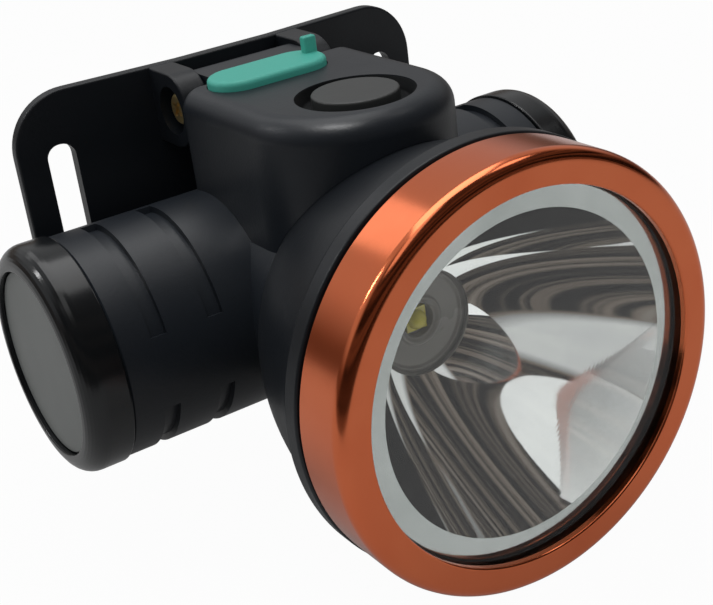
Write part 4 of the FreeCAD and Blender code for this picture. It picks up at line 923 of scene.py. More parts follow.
@dataclass
class Housing:
    """Black housing with the battery barrel, its caps, discs and everything inside."""

    body: str = "head"
    block_half: float = 15.8
    block_rear: float = 14.5
    block_nose: float = 52.6
    block_top: float = BLOCK_TOP
    block_round: float = 3.5
    block_corner: float = 2.5
    nose_short: float = 0.3
    axis_drop: float = AXIS_DROP
    barrel_forward: float = 20.2
    barrel_radius: float = 17.3
    barrel_half: float = 40.6
    bore_radius: float = 13.75
    bore_reach: float = 45.0
    seam_chamfer: float = 0.3
    hinge_forward: float = HINGE_FORWARD
    knuckle_radius: float = 5.2
    tongue_half: float = 9.2
    groove_inner: float = 24.2
    groove_pitch: float = 9.0
    groove_width: float = 2.5
    groove_depth: float = 1.0
    groove_angle: float = 82.0
    groove_turns: tuple[float, float, float] = (60.0, 180.0, 300.0)
    neck_radius: float = NECK_RADIUS
    neck_front: float = 39.3
    neck_overlap: float = 0.6
    neck_straight: float = 9.0
    neck_length: float = 15.0
    neck_taper: float = 0.7
    saddle_front: float = 12.9
    saddle_play: float = 0.05
    pocket_margin: float = 0.4
    button_pocket: tuple[tuple[float, float], ...] = (
        (0.0, 15.7), (7.25, 15.7), (7.25, 19.7), (8.75, 19.7),
    )
    plug_seat: tuple[float, float, float] = (9.9, 4.85, 19.6)
    socket_seat: tuple[float, float, float, float] = (4.5, 1.65, 12.3, 20.0)
    board_radius: float = 14.0
    board_seat: tuple[float, float] = (-0.8, 2.8)
    wire_radius: float = 1.0
    wire_forward: float = 36.9
    power_way: tuple[float, float] = (1.0, 19.0)
    switch_way: tuple[float, float] = (2.0, 16.0)
    hinge_seat_radius: float = 4.05
    hinge_insert_radius: float = 2.4
    hinge_steps: tuple[float, float, float] = (-0.5, 0.6, 5.6)
    screw_radius: float = 1.3
    screw_way: tuple[float, float] = (-1.2, 5.0)
    cap_radius: float = 17.7
    cap_round: float = 3.0
    cap_edge: float = 0.25
    cap_end: float = 47.3
    cap_floor: float = 1.4
    cap_bore: float = 9.55
    right_inside: float = 36.7
    disc_radius: float = 14.1
    disc_edge: float = 0.2
    disc_play: float = 0.15
    disc_sink: float = 0.8
    disc_thickness: float = 1.0
    spigot_radius: float = 13.7
    spigot_end: float = 35.5
    seal_base: float = 12.6
    seal_ends: tuple[float, float] = (37.15, 38.95)

    @property
    def barrel_centre(self) -> Vector:
        """Middle of the battery barrel."""
        return Vector((0.0, -self.barrel_forward * MM, -self.axis_drop * MM))

    @property
    def hinge_height(self) -> float:
        """Height of the hinge axis."""
        return self.block_top - self.knuckle_radius

    def build(self, palette: Palette) -> None:
        """Builds the shells and dresses the pieces inside."""
        shell = self.build_block()
        Maker.combine(shell, [self.build_tongue(), self.build_barrel(), self.build_neck()], "UNION")
        Maker.combine(shell, self.inner_spaces(), "DIFFERENCE")
        Maker.combine(shell, self.grooves(), "DIFFERENCE")
        Maker.flatten_flats(shell)
        seat(shell, self.body, palette.black.material(), ["head_housing"])
        self.build_caps(palette)
        for node, finish in (
            ("left_cap_seal", palette.rubber), ("right_cap_seal", palette.rubber),
            ("battery_cell", palette.sleeve), ("positive_contact", palette.brass),
            ("negative_contact", palette.brass), ("negative_spring", palette.steel),
            ("bowl_screws", palette.steel), ("driver_board", palette.board), ("lamp_leads", palette.wire),
            ("switch_lead", palette.wire), ("switch_board", palette.board), ("tact_switch", palette.steel),
            ("charge_socket", palette.steel),
        ):
            dress(node, finish.material())

    def build_block(self) -> bpy.types.Object:
        """D-shaped block with rounded top and rear edges."""
        half, rear, nose = self.block_half, -self.block_rear, -self.block_nose
        full = half - self.nose_short
        corners = [
            Corner(-half, rear), Corner(-half, nose, full), Corner(half, nose, full), Corner(half, rear),
        ]
        block = Maker.prism("housing", corners, -self.axis_drop, self.block_top, Axis.UPRIGHT, steps=28)
        shape = bmesh.new()
        shape.from_mesh(block.data)
        for size, wanted in ((self.block_round, self.is_top_edge), (self.block_corner, self.is_rear_edge)):
            Maker.bevel(shape, [edge for edge in shape.edges if wanted(edge)], size, 10)
        shape.to_mesh(block.data)
        shape.free()
        return block

    def is_top_edge(self, edge: bmesh.types.BMEdge) -> bool:
        """Tells whether an edge runs along the top, apart from the rear."""
        heights = [vert.co.z for vert in edge.verts]
        behind = all(vert.co.y > -self.block_rear * MM - TOLERANCE for vert in edge.verts)
        return min(heights) > self.block_top * MM - TOLERANCE and not behind

    def is_rear_edge(self, edge: bmesh.types.BMEdge) -> bool:
        """Tells whether an edge runs round the rear face, apart from the bottom."""
        behind = all(vert.co.y > -self.block_rear * MM - TOLERANCE for vert in edge.verts)
        return behind and max(vert.co.z for vert in edge.verts) > -self.axis_drop * MM + TOLERANCE

    def build_tongue(self) -> bpy.types.Object:
        """Hinge tongue with its rounded rear end."""
        radius = self.knuckle_radius - SHORT_OF_FULL
        front = -self.block_rear - self.block_round
        rear = self.knuckle_radius - self.hinge_forward
        low = self.hinge_height - self.knuckle_radius
        corners = [
            Corner(front, self.block_top), Corner(front, low), Corner(rear, low, radius),
            Corner(rear, self.block_top, radius),
        ]
        ends = (-self.tongue_half, self.tongue_half)
        return Maker.prism("tongue", corners, *ends, Axis.ALONG_BARREL, steps=16)

    def build_barrel(self) -> bpy.types.Object:
        """Battery barrel with chamfered ends."""
        corners = [
            Corner(0.0, -self.barrel_half),
            Corner(self.barrel_radius - self.seam_chamfer, -self.barrel_half),
            Corner(self.barrel_radius, self.seam_chamfer - self.barrel_half),
            Corner(self.barrel_radius, self.barrel_half - self.seam_chamfer),
            Corner(self.barrel_radius - self.seam_chamfer, self.barrel_half),
            Corner(0.0, self.barrel_half),
        ]
        return Maker.turned("barrel", corners, self.barrel_centre, Axis.ALONG_BARREL, segments=180)

    def build_neck(self) -> bpy.types.Object:
        """Round neck between the barrel and the bowl, which starts inside the bowl's saddle."""
        front = -self.neck_front - self.neck_overlap
        rear = -self.neck_front + self.neck_length
        corners = [
            Corner(0.0, front), Corner(self.neck_radius, front),
            Corner(self.neck_radius, -self.neck_front + self.neck_straight),
            Corner(self.neck_radius * self.neck_taper, rear), Corner(0.0, rear),
        ]
        centre = Vector((0.0, 0.0, -self.axis_drop * MM))
        return Maker.turned("neck", corners, centre, Axis.ALONG_LAMP, segments=128)

    def inner_spaces(self) -> list[bpy.types.Object]:
        """Bowl saddle, battery bore and the pockets for the controls, the board, the wires and the screws."""
        lamp = Vector((0.0, 0.0, -self.axis_drop * MM))
        controls, head = Controls(), LampHead()
        button = Vector((0.0, -controls.button_forward * MM, 0.0))
        wire = Vector((0.0, -self.wire_forward * MM, 0.0))
        top = self.block_top + self.pocket_margin
        flare = head.flare(self.saddle_front)
        side = [Corner(point.radius + self.saddle_play, point.along) for point in flare]
        saddle = [Corner(0.0, self.saddle_front), *side, Corner(0.0, head.bowl_depth)]
        pocket = [Corner(radius, along) for radius, along in self.button_pocket]
        pocket += [Corner(pocket[-1].radius, top), Corner(0.0, top)]
        plug_length, plug_radius, plug_low = self.plug_seat
        socket_length, socket_radius, socket_low, socket_high = self.socket_seat
        depths = (self.board_seat, self.power_way, self.screw_way)
        board, power, screw = ([depth - self.neck_front for depth in ends] for ends in depths)
        tools = [
            Maker.turned("saddle", saddle, head.front, Axis.ALONG_LAMP, segments=160, hold=False),
            Maker.rod("bore", self.bore_radius, -self.bore_reach, self.bore_reach, self.barrel_centre,
                      Axis.ALONG_BARREL, segments=128),
            Maker.turned("switch_pocket", pocket, button, Axis.UPRIGHT, segments=128),
            Maker.prism("plug_seat", controls.stadium(plug_length, plug_radius), plug_low, top, Axis.UPRIGHT,
                        steps=24),
            Maker.prism("socket_seat", controls.stadium(socket_length, socket_radius), socket_low,
                        socket_high, Axis.UPRIGHT, steps=12),
            Maker.rod("driver_seat", self.board_radius, *board, lamp, Axis.ALONG_LAMP),
            Maker.rod("power_way", self.wire_radius, *power, lamp, Axis.ALONG_LAMP, segments=24),
            Maker.rod("switch_way", self.wire_radius, *self.switch_way, wire, Axis.UPRIGHT, segments=24),
        ]
        hinge = Vector((0.0, -self.hinge_forward * MM, self.hinge_height * MM))
        for sign in (-1.0, 1.0):
            marks = [sign * (self.tongue_half - depth) for depth in self.hinge_steps]
            tools.append(Maker.stepped_rod(
                "hinge_seat", self.hinge_seat_radius, self.hinge_insert_radius, marks, hinge,
                Axis.ALONG_BARREL, segments=48))
        for centre in screw_places(lamp):
            tools.append(Maker.rod(
                "screw_hole", self.screw_radius, *screw, centre, Axis.ALONG_LAMP, segments=24))
        return tools

    def grooves(self) -> list[bpy.types.Object]:
        """Cutting tools of the grip grooves: three arcs at each of four places."""
        tools = []
        inner = (self.groove_inner, self.groove_inner + self.groove_pitch)
        starts = [*inner, *(-start - self.groove_width for start in inner)]
        for turn in self.groove_turns:
            for start in starts:
                tools.append(self.groove(start, turn))
        return tools

    def groove(self, start: float, turn: float) -> bpy.types.Object:
        """One arc tool, starting at a place along the barrel and at a turn from the barrel's front."""
        shape = bmesh.new()
        radii = (self.barrel_radius - self.groove_depth, self.barrel_radius + self.groove_depth)
        ends = (start, start + self.groove_width)
        places = [(ends[0], radii[0]), (ends[1], radii[0]), (ends[1], radii[1]), (ends[0], radii[1])]
        shape.faces.new([shape.verts.new((along * MM, -radius * MM, 0.0)) for along, radius in places])
        half = math.radians(self.groove_angle / 2)
        start_turn = Matrix.Rotation(math.radians(turn) - half, 3, "X")
        bmesh.ops.rotate(shape, verts=shape.verts[:], matrix=start_turn)
        bmesh.ops.spin(
            shape, geom=shape.verts[:] + shape.edges[:] + shape.faces[:], cent=(0, 0, 0), axis=(1, 0, 0),
            dvec=(0, 0, 0), angle=2 * half, steps=40, use_merge=False, use_duplicate=False,
        )
        bmesh.ops.holes_fill(shape, edges=[edge for edge in shape.edges if edge.is_boundary])
        bmesh.ops.translate(shape, verts=shape.verts[:], vec=self.barrel_centre)
        return Maker.finish("groove", shape)

    def build_caps(self, palette: Palette) -> None:
        """End caps with their inset discs."""
        disc_back = self.cap_end - self.disc_sink - self.disc_thickness
        disc_front = self.cap_end - self.disc_sink
        seal_low, seal_high = self.seal_ends
        recess = self.disc_radius + self.disc_play
        left_inside = disc_back - self.cap_floor
        for side, inner, sign in (("left", left_inside, -1.0), ("right", self.right_inside, 1.0)):
            corners = [
                Corner(0.0, disc_back), Corner(recess, disc_back),
                Corner(recess, self.cap_end, self.cap_edge),
                Corner(self.cap_radius, self.cap_end, self.cap_round),
                Corner(self.cap_radius, self.barrel_half, self.seam_chamfer),
                Corner(self.spigot_radius, self.barrel_half), Corner(self.spigot_radius, seal_high),
                Corner(self.seal_base, seal_high), Corner(self.seal_base, seal_low),
                Corner(self.spigot_radius, seal_low), Corner(self.spigot_radius, self.spigot_end),
                Corner(self.cap_bore, self.spigot_end), Corner(self.cap_bore, inner), Corner(0.0, inner),
            ]
            cap = self.turned_cap(f"{side}_cap", corners, sign)
            seat(cap, self.body, palette.cap.material(), [f"{side}_end_cap"])
            corners = [
                Corner(0.0, disc_back), Corner(self.disc_radius, disc_back),
                Corner(self.disc_radius, disc_front, self.disc_edge), Corner(0.0, disc_front),
            ]
            disc = self.turned_cap(f"{side}_disc", corners, sign)
            seat(disc, self.body, palette.disc.material(), [f"{side}_cap_disc"])

    def turned_cap(self, name: str, corners: Sequence[Corner], sign: float) -> bpy.types.Object:
        """Turns a piece about the barrel axis, on the right or mirrored to the left."""
        placed = [Corner(corner.radius, corner.along * sign, corner.rounding) for corner in corners]
        return Maker.turned(name, placed, self.barrel_centre, Axis.ALONG_BARREL, segments=180, steps=8)


@dataclass
class Hinge:
    """Strap plate with its ears, and the hinge's screws, washers and inserts."""

    body: str = "bracket"
    plate_width: float = 74.4
    plate_height: float = 47.0
    plate_thickness: float = 2.2
    plate_corner: float = 9.5
    plate_edge: float = 0.4
    plate_flat: float = 17.0
    wing_angle: float = 5.1
    slot_centre: float = 30.25
    slot_width: float = 4.6
    slot_length: float = 30.0
    slot_reach: tuple[float, float] = (-6.0, 8.0)
    ear_inner: float = 9.4
    ear_outer: float = 13.8
    ear_radius: float = 6.0
    ear_edge: float = 0.35
    axis_forward: float = HINGE_FORWARD
    axis_height: float = 17.4
    counterbore_radius: float = 3.9
    counterbore_depth: float = 2.6
    screw_head: float = 2.55
    screw_head_height: float = 1.6
    screw_radius: float = 1.5
    screw_play: float = 0.05
    screw_end: float = 4.2
    screw_dome: float = 0.7
    cross_arm: float = 0.56
    cross_rib: float = 0.13
    cross_turn: float = 35.0
    cross_reach: tuple[float, float] = (-1.0, 0.5)
    tool_margin: float = 1.0

    def build(self, palette: Palette) -> None:
        """Builds the plate and the screws, and dresses the hidden hinge pieces."""
        plate = self.build_plate()
        Maker.combine(plate, [self.build_ear(-1.0), self.build_ear(1.0)], "UNION")
        Maker.combine(plate, self.slots(), "DIFFERENCE")
        Maker.combine(plate, self.bores(), "DIFFERENCE")
        Maker.flatten_flats(plate)
        seat(plate, self.body, palette.black.material(), ["bracket_plate"])
        seat(self.build_screws(), "head", palette.brass.material(), ["hinge_screws"])
        dress("hinge_inserts", palette.brass.material())
        dress("hinge_washers", palette.rubber.material())

    def build_plate(self) -> bpy.types.Object:
        """Bent plate with rounded corners and edges."""
        half, flat, high = self.plate_width / 2, self.plate_flat / 2, self.plate_height / 2
        bend = (half - flat) * math.tan(math.radians(self.wing_angle))
        thick = self.plate_thickness
        corners = [
            Corner(-half, bend), Corner(-half, bend - thick), Corner(-flat, -thick), Corner(flat, -thick),
            Corner(half, bend - thick), Corner(half, bend), Corner(flat, 0.0), Corner(-flat, 0.0),
        ]
        plate = Maker.prism("strap_plate", corners, -high, high, Axis.UPRIGHT)
        shape = bmesh.new()
        shape.from_mesh(plate.data)
        tips = [
            edge for edge in shape.edges
            if abs(edge.verts[0].co.z - edge.verts[1].co.z) < TOLERANCE
            and all(abs(vert.co.x) > half * MM - TOLERANCE for vert in edge.verts)
        ]
        Maker.bevel(shape, tips, self.plate_corner, 16)
        Maker.round_sharp(shape, self.plate_edge, 3)
        shape.to_mesh(plate.data)
        shape.free()
        return plate

    def build_ear(self, side: float) -> bpy.types.Object:
        """One hinge ear."""
        front = -self.axis_forward - self.ear_radius
        root = -self.plate_thickness / 2
        high, low = self.axis_height + self.ear_radius, self.axis_height - self.ear_radius
        rounding = self.ear_radius - SHORT_OF_FULL
        corners = [
            Corner(root, high), Corner(front, high, rounding),
            Corner(front, low, rounding), Corner(root, low),
        ]
        ends = sorted((side * self.ear_inner, side * self.ear_outer))
        return Maker.prism(
            "ear", corners, *ends, Axis.ALONG_BARREL, steps=16, edge=self.ear_edge, edge_steps=3,
            keep=lambda middle: middle.y > root * MM - TOLERANCE,
        )

    def slots(self) -> list[bpy.types.Object]:
        """Tools of the two strap slots."""
        across, up = self.slot_width / 2, self.slot_length / 2
        rounding = across - SHORT_OF_FULL
        tools = []
        for side in (-1.0, 1.0):
            corners = [
                Corner(side * self.slot_centre + x, z, rounding)
                for x, z in ((-across, -up), (across, -up), (across, up), (-across, up))
            ]
            tools.append(Maker.prism("slot", corners, *self.slot_reach, Axis.ALONG_LAMP))
        return tools

    def bores(self) -> list[bpy.types.Object]:
        """Tools of the screw recesses and screw ways of both ears."""
        centre = Vector((0.0, -self.axis_forward * MM, self.axis_height * MM))
        margin = self.tool_margin
        places = (self.ear_outer + margin, self.ear_outer - self.counterbore_depth, self.ear_inner - margin)
        way = self.screw_radius + self.screw_play
        return [
            Maker.stepped_rod(
                "recess", self.counterbore_radius, way, [side * place for place in places], centre,
                Axis.ALONG_BARREL, segments=96)
            for side in (-1.0, 1.0)
        ]

    def build_screws(self) -> bpy.types.Object:
        """Pan head screws with cross recesses, right and left."""
        centre = Vector((0.0, -self.axis_forward * MM, self.axis_height * MM))
        under = self.ear_outer - self.counterbore_depth
        top = under + self.screw_head_height
        screw = Maker.turned(
            "hinge_screw_pair",
            [Corner(0.0, self.screw_end), Corner(self.screw_radius, self.screw_end),
             Corner(self.screw_radius, under), Corner(self.screw_head, under),
             Corner(self.screw_head, top, self.screw_dome), Corner(0.0, top)],
            centre, Axis.ALONG_BARREL, segments=64, steps=6,
        )
        arm, rib = self.screw_head * self.cross_arm, self.screw_head * self.cross_rib
        places = [
            (arm, rib), (rib, rib), (rib, arm), (-rib, arm), (-rib, rib), (-arm, rib), (-arm, -rib),
            (-rib, -rib), (-rib, -arm), (rib, -arm), (rib, -rib), (arm, -rib),
        ]
        turn = Matrix.Rotation(math.radians(self.cross_turn), 2)
        spots = [turn @ Vector(place) for place in places]
        corners = [Corner(y - self.axis_forward, z + self.axis_height) for y, z in spots]
        low, high = (top + reach for reach in self.cross_reach)
        cross = Maker.prism("cross", corners, low, high, Axis.ALONG_BARREL)
        Maker.combine(screw, [cross], "DIFFERENCE")
        return Maker.mirrored(screw)


@dataclass
class Controls:
    """Power button with its collar, and the charging plug."""

    block_top: float = BLOCK_TOP
    button_forward: float = 40.4
    button_radius: float = 6.35
    button_rise: float = 0.4
    button_edge: float = 0.35
    button_inside: tuple[tuple[float, float], ...] = (
        (0.0, 19.0), (1.2, 19.0), (1.2, 20.0), (5.15, 20.0), (5.15, 18.5), (7.2, 18.5), (7.2, 19.6),
    )
    collar_bore: float = 6.4
    collar_radius: float = 8.7
    collar_bottom: float = 19.7
    collar_dish: tuple[float, float] = (7.7, 20.8)
    collar_edge: float = 0.2
    dish_edge: float = 0.3
    plug_shift: float = 2.75
    plug_forward: float = 20.4
    plug_length: float = 19.5
    plug_width: float = 9.4
    plug_rise: float = 1.4
    plug_depth: float = 3.0
    plug_edge: float = 0.8
    tab_length: float = 2.2
    tab_thickness: float = 1.4
    tab_height: float = 2.5
    tab_from_end: float = 0.3
    tab_from_side: float = 2.9
    tab_root: float = 0.05
    tab_corner: float = 0.25
    tab_edge: float = 0.3

    def build(self, palette: Palette) -> None:
        """Builds and dresses the controls."""
        centre = Vector((0.0, -self.button_forward * MM, 0.0))
        crown = self.block_top + self.button_rise
        button = Maker.turned(
            "button_cap",
            [*[Corner(radius, height) for radius, height in self.button_inside],
             Corner(self.button_radius, self.button_inside[-1][1]),
             Corner(self.button_radius, crown, self.button_edge), Corner(0.0, crown)],
            centre, Axis.UPRIGHT, segments=128,
        )
        seat(button, "button", palette.trim.material(), ["power_button"])
        dish_radius, dish_height = self.collar_dish
        collar = Maker.turned(
            "collar",
            [Corner(self.collar_bore, self.collar_bottom), Corner(self.collar_radius, self.collar_bottom),
             Corner(self.collar_radius, self.block_top, self.collar_edge),
             Corner(dish_radius, dish_height, self.dish_edge),
             Corner(self.collar_bore, dish_height)],
            centre, Axis.UPRIGHT, segments=128,
        )
        # The collar's finish is darker than the housing's black: painted shade in the recess round the
        # button.
        seat(collar, "head", palette.collar.material(), ["button_collar"])
        seat(self.build_plug(), "plug", palette.teal.material(), ["port_plug"])

    def stadium(self, length: float, radius: float) -> list[Corner]:
        """Outline of a slot-shaped piece about the plug's centre, by its half length and its end radius."""
        rounding = radius - SHORT_OF_FULL
        return [
            Corner(x * length - self.plug_shift, y * radius - self.plug_forward, rounding)
            for x, y in ((-1.0, -1.0), (1.0, -1.0), (1.0, 1.0), (-1.0, 1.0))
        ]

    def build_plug(self) -> bpy.types.Object:
        """Rubber plug with its rounded top and its upright pull tab."""
        crown = self.block_top + self.plug_rise
        foot = self.block_top - self.plug_depth
        outline = self.stadium(self.plug_length / 2, self.plug_width / 2)
        plug = Maker.prism(
            "rubber_plug", outline, foot, crown, Axis.UPRIGHT, steps=20, edge=self.plug_edge, edge_steps=5,
            keep=lambda middle: middle.z < foot * MM + TOLERANCE,
        )
        end = self.plug_length / 2 - self.tab_from_end - self.plug_shift
        back = self.plug_width / 2 - self.tab_from_side - self.plug_forward
        start, front = end - self.tab_length, back - self.tab_thickness
        corners = [
            Corner(x, y, self.tab_corner)
            for x, y in ((start, front), (end, front), (end, back), (start, back))
        ]
        tab = Maker.prism(
            "tab", corners, self.block_top + self.tab_root, crown + self.tab_height, Axis.UPRIGHT, steps=3,
            edge=self.tab_edge, edge_steps=3, keep=lambda middle: middle.z < crown * MM,
        )
        Maker.combine(plug, [tab], "UNION")
        Maker.flatten_flats(plug)
        return plug


# ------------------------------------------------------------------ studio


@dataclass
class Softbox:
    """One rectangular lamp: where it stands, where it looks, its size and the brightness of its face.

    A lamp that names a piece lights nothing else.
    """

    name: str
    place: tuple[float, float, float]
    target: tuple[float, float, float]
    width: float
    height: float
    brightness: float
    only_on: str = ""

    def build(self) -> None:
        """Adds the lamp to the scene."""
        lamp = bpy.data.lights.new(self.name, "AREA")
        lamp.shape = "RECTANGLE"
        lamp.size = self.width
        lamp.size_y = self.height
        lamp.energy = self.brightness * math.pi * self.width * self.height
        stand = bpy.data.objects.new(self.name, lamp)
        stand.location = self.place
        stand.visible_transmission = False
        look = Vector(self.target) - Vector(self.place)
        stand.rotation_euler = look.to_track_quat("-Z", "Y").to_euler()
        bpy.context.scene.collection.objects.link(stand)
        if self.only_on:
            lit = bpy.data.collections.new(f"{self.name}_lit")
            lit.objects.link(bpy.data.objects[self.only_on])
            stand.light_linking.receiver_collection = lit


@dataclass
class Studio:
    """White surroundings, soft lamps and the camera.

    Turns and rises are in degrees here. A turn is nought straight in front of the lamp and negative to the
    left. A brightness of one is white.
    """

    azimuth: float = -30.36
    elevation: float = 24.55
    roll: float = 7.54
    camera_place: tuple[float, float, float] = (-0.09851, -0.20125, 0.07642)
    lens: float = 69.47
    sensor: float = 36.0
    clip: tuple[float, float] = (0.01, 10.0)
    floor_half: float = 1.2
    sheet_edge: float = 0.183
    sheet_turn: float = -34.4
    sheet_gap: float = 0.0005
    sheet_colour: float = 0.45
    sheet_roughness: float = 0.9
    sheet_seen: float = 0.97
    sheet_mirrored: float = 0.17
    sheet_glazed: float = 0.96
    ambient: float = 0.40
    backdrop_glow: float = 0.50
    wall_glow: float = 0.66
    wall_start: tuple[float, float] = (3.0, 14.0)
    wall_rise: tuple[float, float, float] = (-4.0, 76.0, 4.0)
    wall_high_share: float = 0.45
    wall_high_turn: tuple[float, float, float] = (-14.0, 60.0, 5.0)
    wall_high_rise: tuple[float, float, float] = (58.0, 80.0, 5.0)
    sweep_start: tuple[float, float] = (-0.10, 0.25)
    sweep_rise: tuple[float, float] = (6.0, 20.0)
    sweep_low: float = 0.25
    room_glow: float = 0.20
    streak_scale: float = 9.0
    streak_slant: float = 0.15
    streak_detail: float = 3.0
    streak_range: tuple[float, float] = (0.46, 0.66)
    tint_range: tuple[float, float] = (0.15, 0.30)
    room_tint: tuple[float, float, float, float] = (1.0, 0.80, 0.66, 1.0)
    softboxes: list[Softbox] = field(default_factory=lambda: [
        Softbox("window_softbox", (-0.211, -0.187, 0.538), (0.0, -0.065, -0.01), 0.22, 0.34, 1.0),
        Softbox("top_softbox", (0.05, 0.15, 0.75), (0.0, -0.03, 0.0), 0.60, 0.60, 2.2),
        Softbox("right_softbox", (0.30, -0.17, 0.52), (0.0, -0.045, 0.0), 0.18, 0.14, 2.2),
        Softbox("brow_lamp", (-0.15, -0.156, 0.587), (0.0, -0.03, 0.022), 0.24, 0.05, 55.0, "housing"),
        Softbox("glint_lamp", (-0.36, 0.26, 0.36), (-0.03, -0.03, -0.01), 0.025, 0.12, 32.0),
        Softbox("rear_softbox", (-0.084, 0.36, 0.341), (-0.0155, -0.072, 0.0168), 0.18, 0.16, 0.85),
    ])

    def build(self) -> None:
        """Builds the camera, the world, the lamps and the floor."""
        self.build_camera()
        self.build_world()
        self.build_floor()
        for softbox in self.softboxes:
            softbox.build()
        bpy.context.scene.view_settings.view_transform = "Standard"
        bpy.context.scene.cycles.glossy_bounces = 3

    def build_camera(self) -> None:
        """Places the camera by its azimuth, elevation and roll."""
        data = bpy.data.cameras.new("camera")
        data.lens = self.lens
        data.sensor_width = self.sensor
        data.clip_start, data.clip_end = self.clip
        camera = bpy.data.objects.new("camera", data)
        turn, tilt = math.radians(self.azimuth), math.radians(self.elevation)
        level_part = math.cos(tilt)
        sight = Vector((-math.sin(turn) * level_part, math.cos(turn) * level_part, -math.sin(tilt)))
        level = sight.to_track_quat("-Z", "Y")
        camera.rotation_mode = "QUATERNION"
        camera.rotation_quaternion = level @ Quaternion((0.0, 0.0, 1.0), -math.radians(self.roll))
        camera.location = self.camera_place
        bpy.context.scene.collection.objects.link(camera)
        bpy.context.scene.camera = camera

    def build_world(self) -> None:
        """White where the camera looks.

        Reflections show a pale sweep behind the lamp and a dim streaky room. Behind the lens there are the
        same room and a pale wall. Everything else gets a plain even light.
        """
        world = bpy.data.worlds.new("studio")
        world.use_nodes = True
        bpy.context.scene.world = world
        world.node_tree.nodes.clear()
        tree = Tree(world.node_tree)
        way = tree.add("ShaderNodeSeparateXYZ")
        tree.link(tree.add("ShaderNodeTexCoord").outputs["Generated"], way.inputs[0])
        turn = tree.math("ARCTAN2", way.outputs["X"], tree.math("MULTIPLY", way.outputs["Y"], -1.0))
        rise = tree.math("ARCSINE", way.outputs["Z"])
        behind = tree.spread(way.outputs["Y"], *self.sweep_start)
        upper = tree.spread(rise, *map(math.radians, self.sweep_rise), self.sweep_low, 1.0)
        sweep = tree.math("MULTIPLY", behind, upper)
        room = self.room(tree, turn, rise)
        paths = tree.add("ShaderNodeLightPath")
        mirrored = tree.math("MAXIMUM", tree.math("MULTIPLY", sweep, self.backdrop_glow), room)
        strength = self.choose(tree, paths.outputs["Is Glossy Ray"], mirrored, self.ambient)
        glazed = tree.math("MAXIMUM", room, self.wall(tree, turn, rise))
        strength = self.choose(tree, paths.outputs["Is Transmission Ray"], glazed, strength)
        light = tree.add("ShaderNodeBackground")
        shown = self.choose(tree, paths.outputs["Is Camera Ray"], 1.0, strength)
        tint = tree.add("ShaderNodeMix", data_type="RGBA")
        tint.inputs["A"].default_value = self.room_tint
        tint.inputs["B"].default_value = WHITE
        tree.link(tree.spread(shown, *self.tint_range), tint.inputs["Factor"])
        tree.link(tint.outputs["Result"], light.inputs["Color"])
        tree.link(shown, light.inputs["Strength"])
        out = tree.add("ShaderNodeOutputWorld")
        tree.link(light.outputs[0], out.inputs["Surface"])

    @staticmethod
    def choose(tree: Tree, mask: bpy.types.NodeSocket, yes: object, no: object) -> bpy.types.NodeSocket:
        """Gives one value where a mask is one and another where it is nought."""
        kept = tree.math("MULTIPLY", mask, yes)
        return tree.math("ADD", kept, tree.math("MULTIPLY", tree.math("SUBTRACT", 1.0, mask), no))

    @staticmethod
    def band(tree: Tree, value: bpy.types.NodeSocket, low: float, high: float,
             soft: float) -> bpy.types.NodeSocket:
        """Gives a mask of one between two angles, with soft ends, all in degrees."""
        edge, start, end = math.radians(soft), math.radians(low), math.radians(high)
        rising = tree.spread(value, start - edge, start + edge)
        return tree.math("MULTIPLY", rising, tree.spread(value, end - edge, end + edge, 1.0, 0.0))

    def room(self, tree: Tree, turn: bpy.types.NodeSocket,
             rise: bpy.types.NodeSocket) -> bpy.types.NodeSocket:
        """Gives the brightness of the dim room, which runs in slanting streaks.

        Args:
            tree: The world's tree.
            turn: Angle round the upright, in radians.
            rise: Angle above the horizon, in radians.

        Returns:
            A brightness.
        """
        lines = tree.add("ShaderNodeTexNoise", noise_dimensions="1D")
        lines.inputs["Scale"].default_value = self.streak_scale
        lines.inputs["Detail"].default_value = self.streak_detail
        tree.link(tree.math("ADD", rise, tree.math("MULTIPLY", turn, self.streak_slant)), lines.inputs["W"])
        return tree.spread(lines.outputs["Fac"], *self.streak_range, 0.0, self.room_glow)

    def wall(self, tree: Tree, turn: bpy.types.NodeSocket,
             rise: bpy.types.NodeSocket) -> bpy.types.NodeSocket:
        """Gives the brightness of the pale wall to the right, by turn and rise in radians."""
        across = tree.spread(turn, *map(math.radians, self.wall_start))
        upward = self.band(tree, rise, *self.wall_rise)
        lit = tree.math("MULTIPLY", tree.math("MULTIPLY", across, upward), self.wall_glow)
        over = self.band(tree, turn, *self.wall_high_turn)
        high = tree.math("MULTIPLY", over, self.band(tree, rise, *self.wall_high_rise))
        return tree.math("MAXIMUM", lit, tree.math("MULTIPLY", high, self.wall_glow * self.wall_high_share))

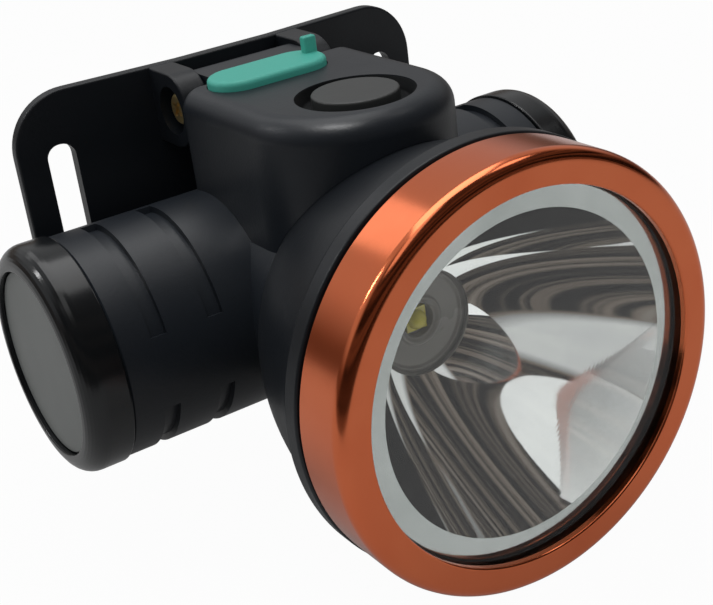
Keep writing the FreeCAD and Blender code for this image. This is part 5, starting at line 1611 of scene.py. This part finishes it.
    def build_floor(self) -> None:
        """Adds the pale sheet under the lamp, which ends beside the camera.

        It is almost white to the camera, pale to what mirrors it, and can be looked through from below.
        """
        shape = bmesh.new()
        bmesh.ops.create_grid(shape, x_segments=1, y_segments=1, size=self.floor_half)
        middle = (0.0, self.floor_half - self.sheet_edge, CAD_BOX[0].z - self.sheet_gap)
        bmesh.ops.translate(shape, verts=shape.verts[:], vec=middle)
        turn = Matrix.Rotation(math.radians(self.sheet_turn), 3, "Z")
        bmesh.ops.rotate(shape, verts=shape.verts[:], matrix=turn)
        floor = Maker.finish("floor", shape)
        material, tree, shader = new_material("white_sweep")
        shader.inputs["Base Color"].default_value = (*[self.sheet_colour] * 3, 1.0)
        shader.inputs["Roughness"].default_value = self.sheet_roughness
        paths = tree.add("ShaderNodeLightPath")
        seen = tree.math("MULTIPLY", paths.outputs["Is Camera Ray"], self.sheet_seen)
        mirrored = tree.math("MULTIPLY", paths.outputs["Is Glossy Ray"], self.sheet_mirrored)
        glazed = tree.math("MULTIPLY", paths.outputs["Is Transmission Ray"], self.sheet_glazed)
        share = tree.math("MAXIMUM", seen, tree.math("MAXIMUM", mirrored, glazed))
        glowing = self.mix_shaders(tree, share, shader, tree.add("ShaderNodeEmission"))
        way = tree.add("ShaderNodeSeparateXYZ")
        tree.link(tree.add("ShaderNodeNewGeometry").outputs["Incoming"], way.inputs[0])
        below = tree.math("LESS_THAN", way.outputs["Z"], 0.0)
        sheet = self.mix_shaders(tree, below, glowing, tree.add("ShaderNodeBsdfTransparent"))
        out = next(node for node in material.node_tree.nodes if node.type == "OUTPUT_MATERIAL")
        tree.link(sheet.outputs[0], out.inputs["Surface"])
        floor.data.materials.append(material)

    @staticmethod
    def mix_shaders(tree: Tree, share: bpy.types.NodeSocket, first: bpy.types.Node,
                    second: bpy.types.Node) -> bpy.types.Node:
        """Mixes two shaders by the second one's share and gives the mixing node."""
        mix = tree.add("ShaderNodeMixShader")
        for index, source in enumerate((share, first.outputs[0], second.outputs[0])):
            tree.link(source, mix.inputs[index])
        return mix


def main() -> None:
    """Builds the lamp and its studio."""
    logging.basicConfig(level=logging.INFO, format="%(name)s: %(message)s")
    palette = Palette()
    for assembly in (LampHead(), Housing(), Hinge(), Controls()):
        LOG.info("building %s", type(assembly).__name__)
        assembly.build(palette)
    Studio().build()


if __name__ == "__main__":
    main()
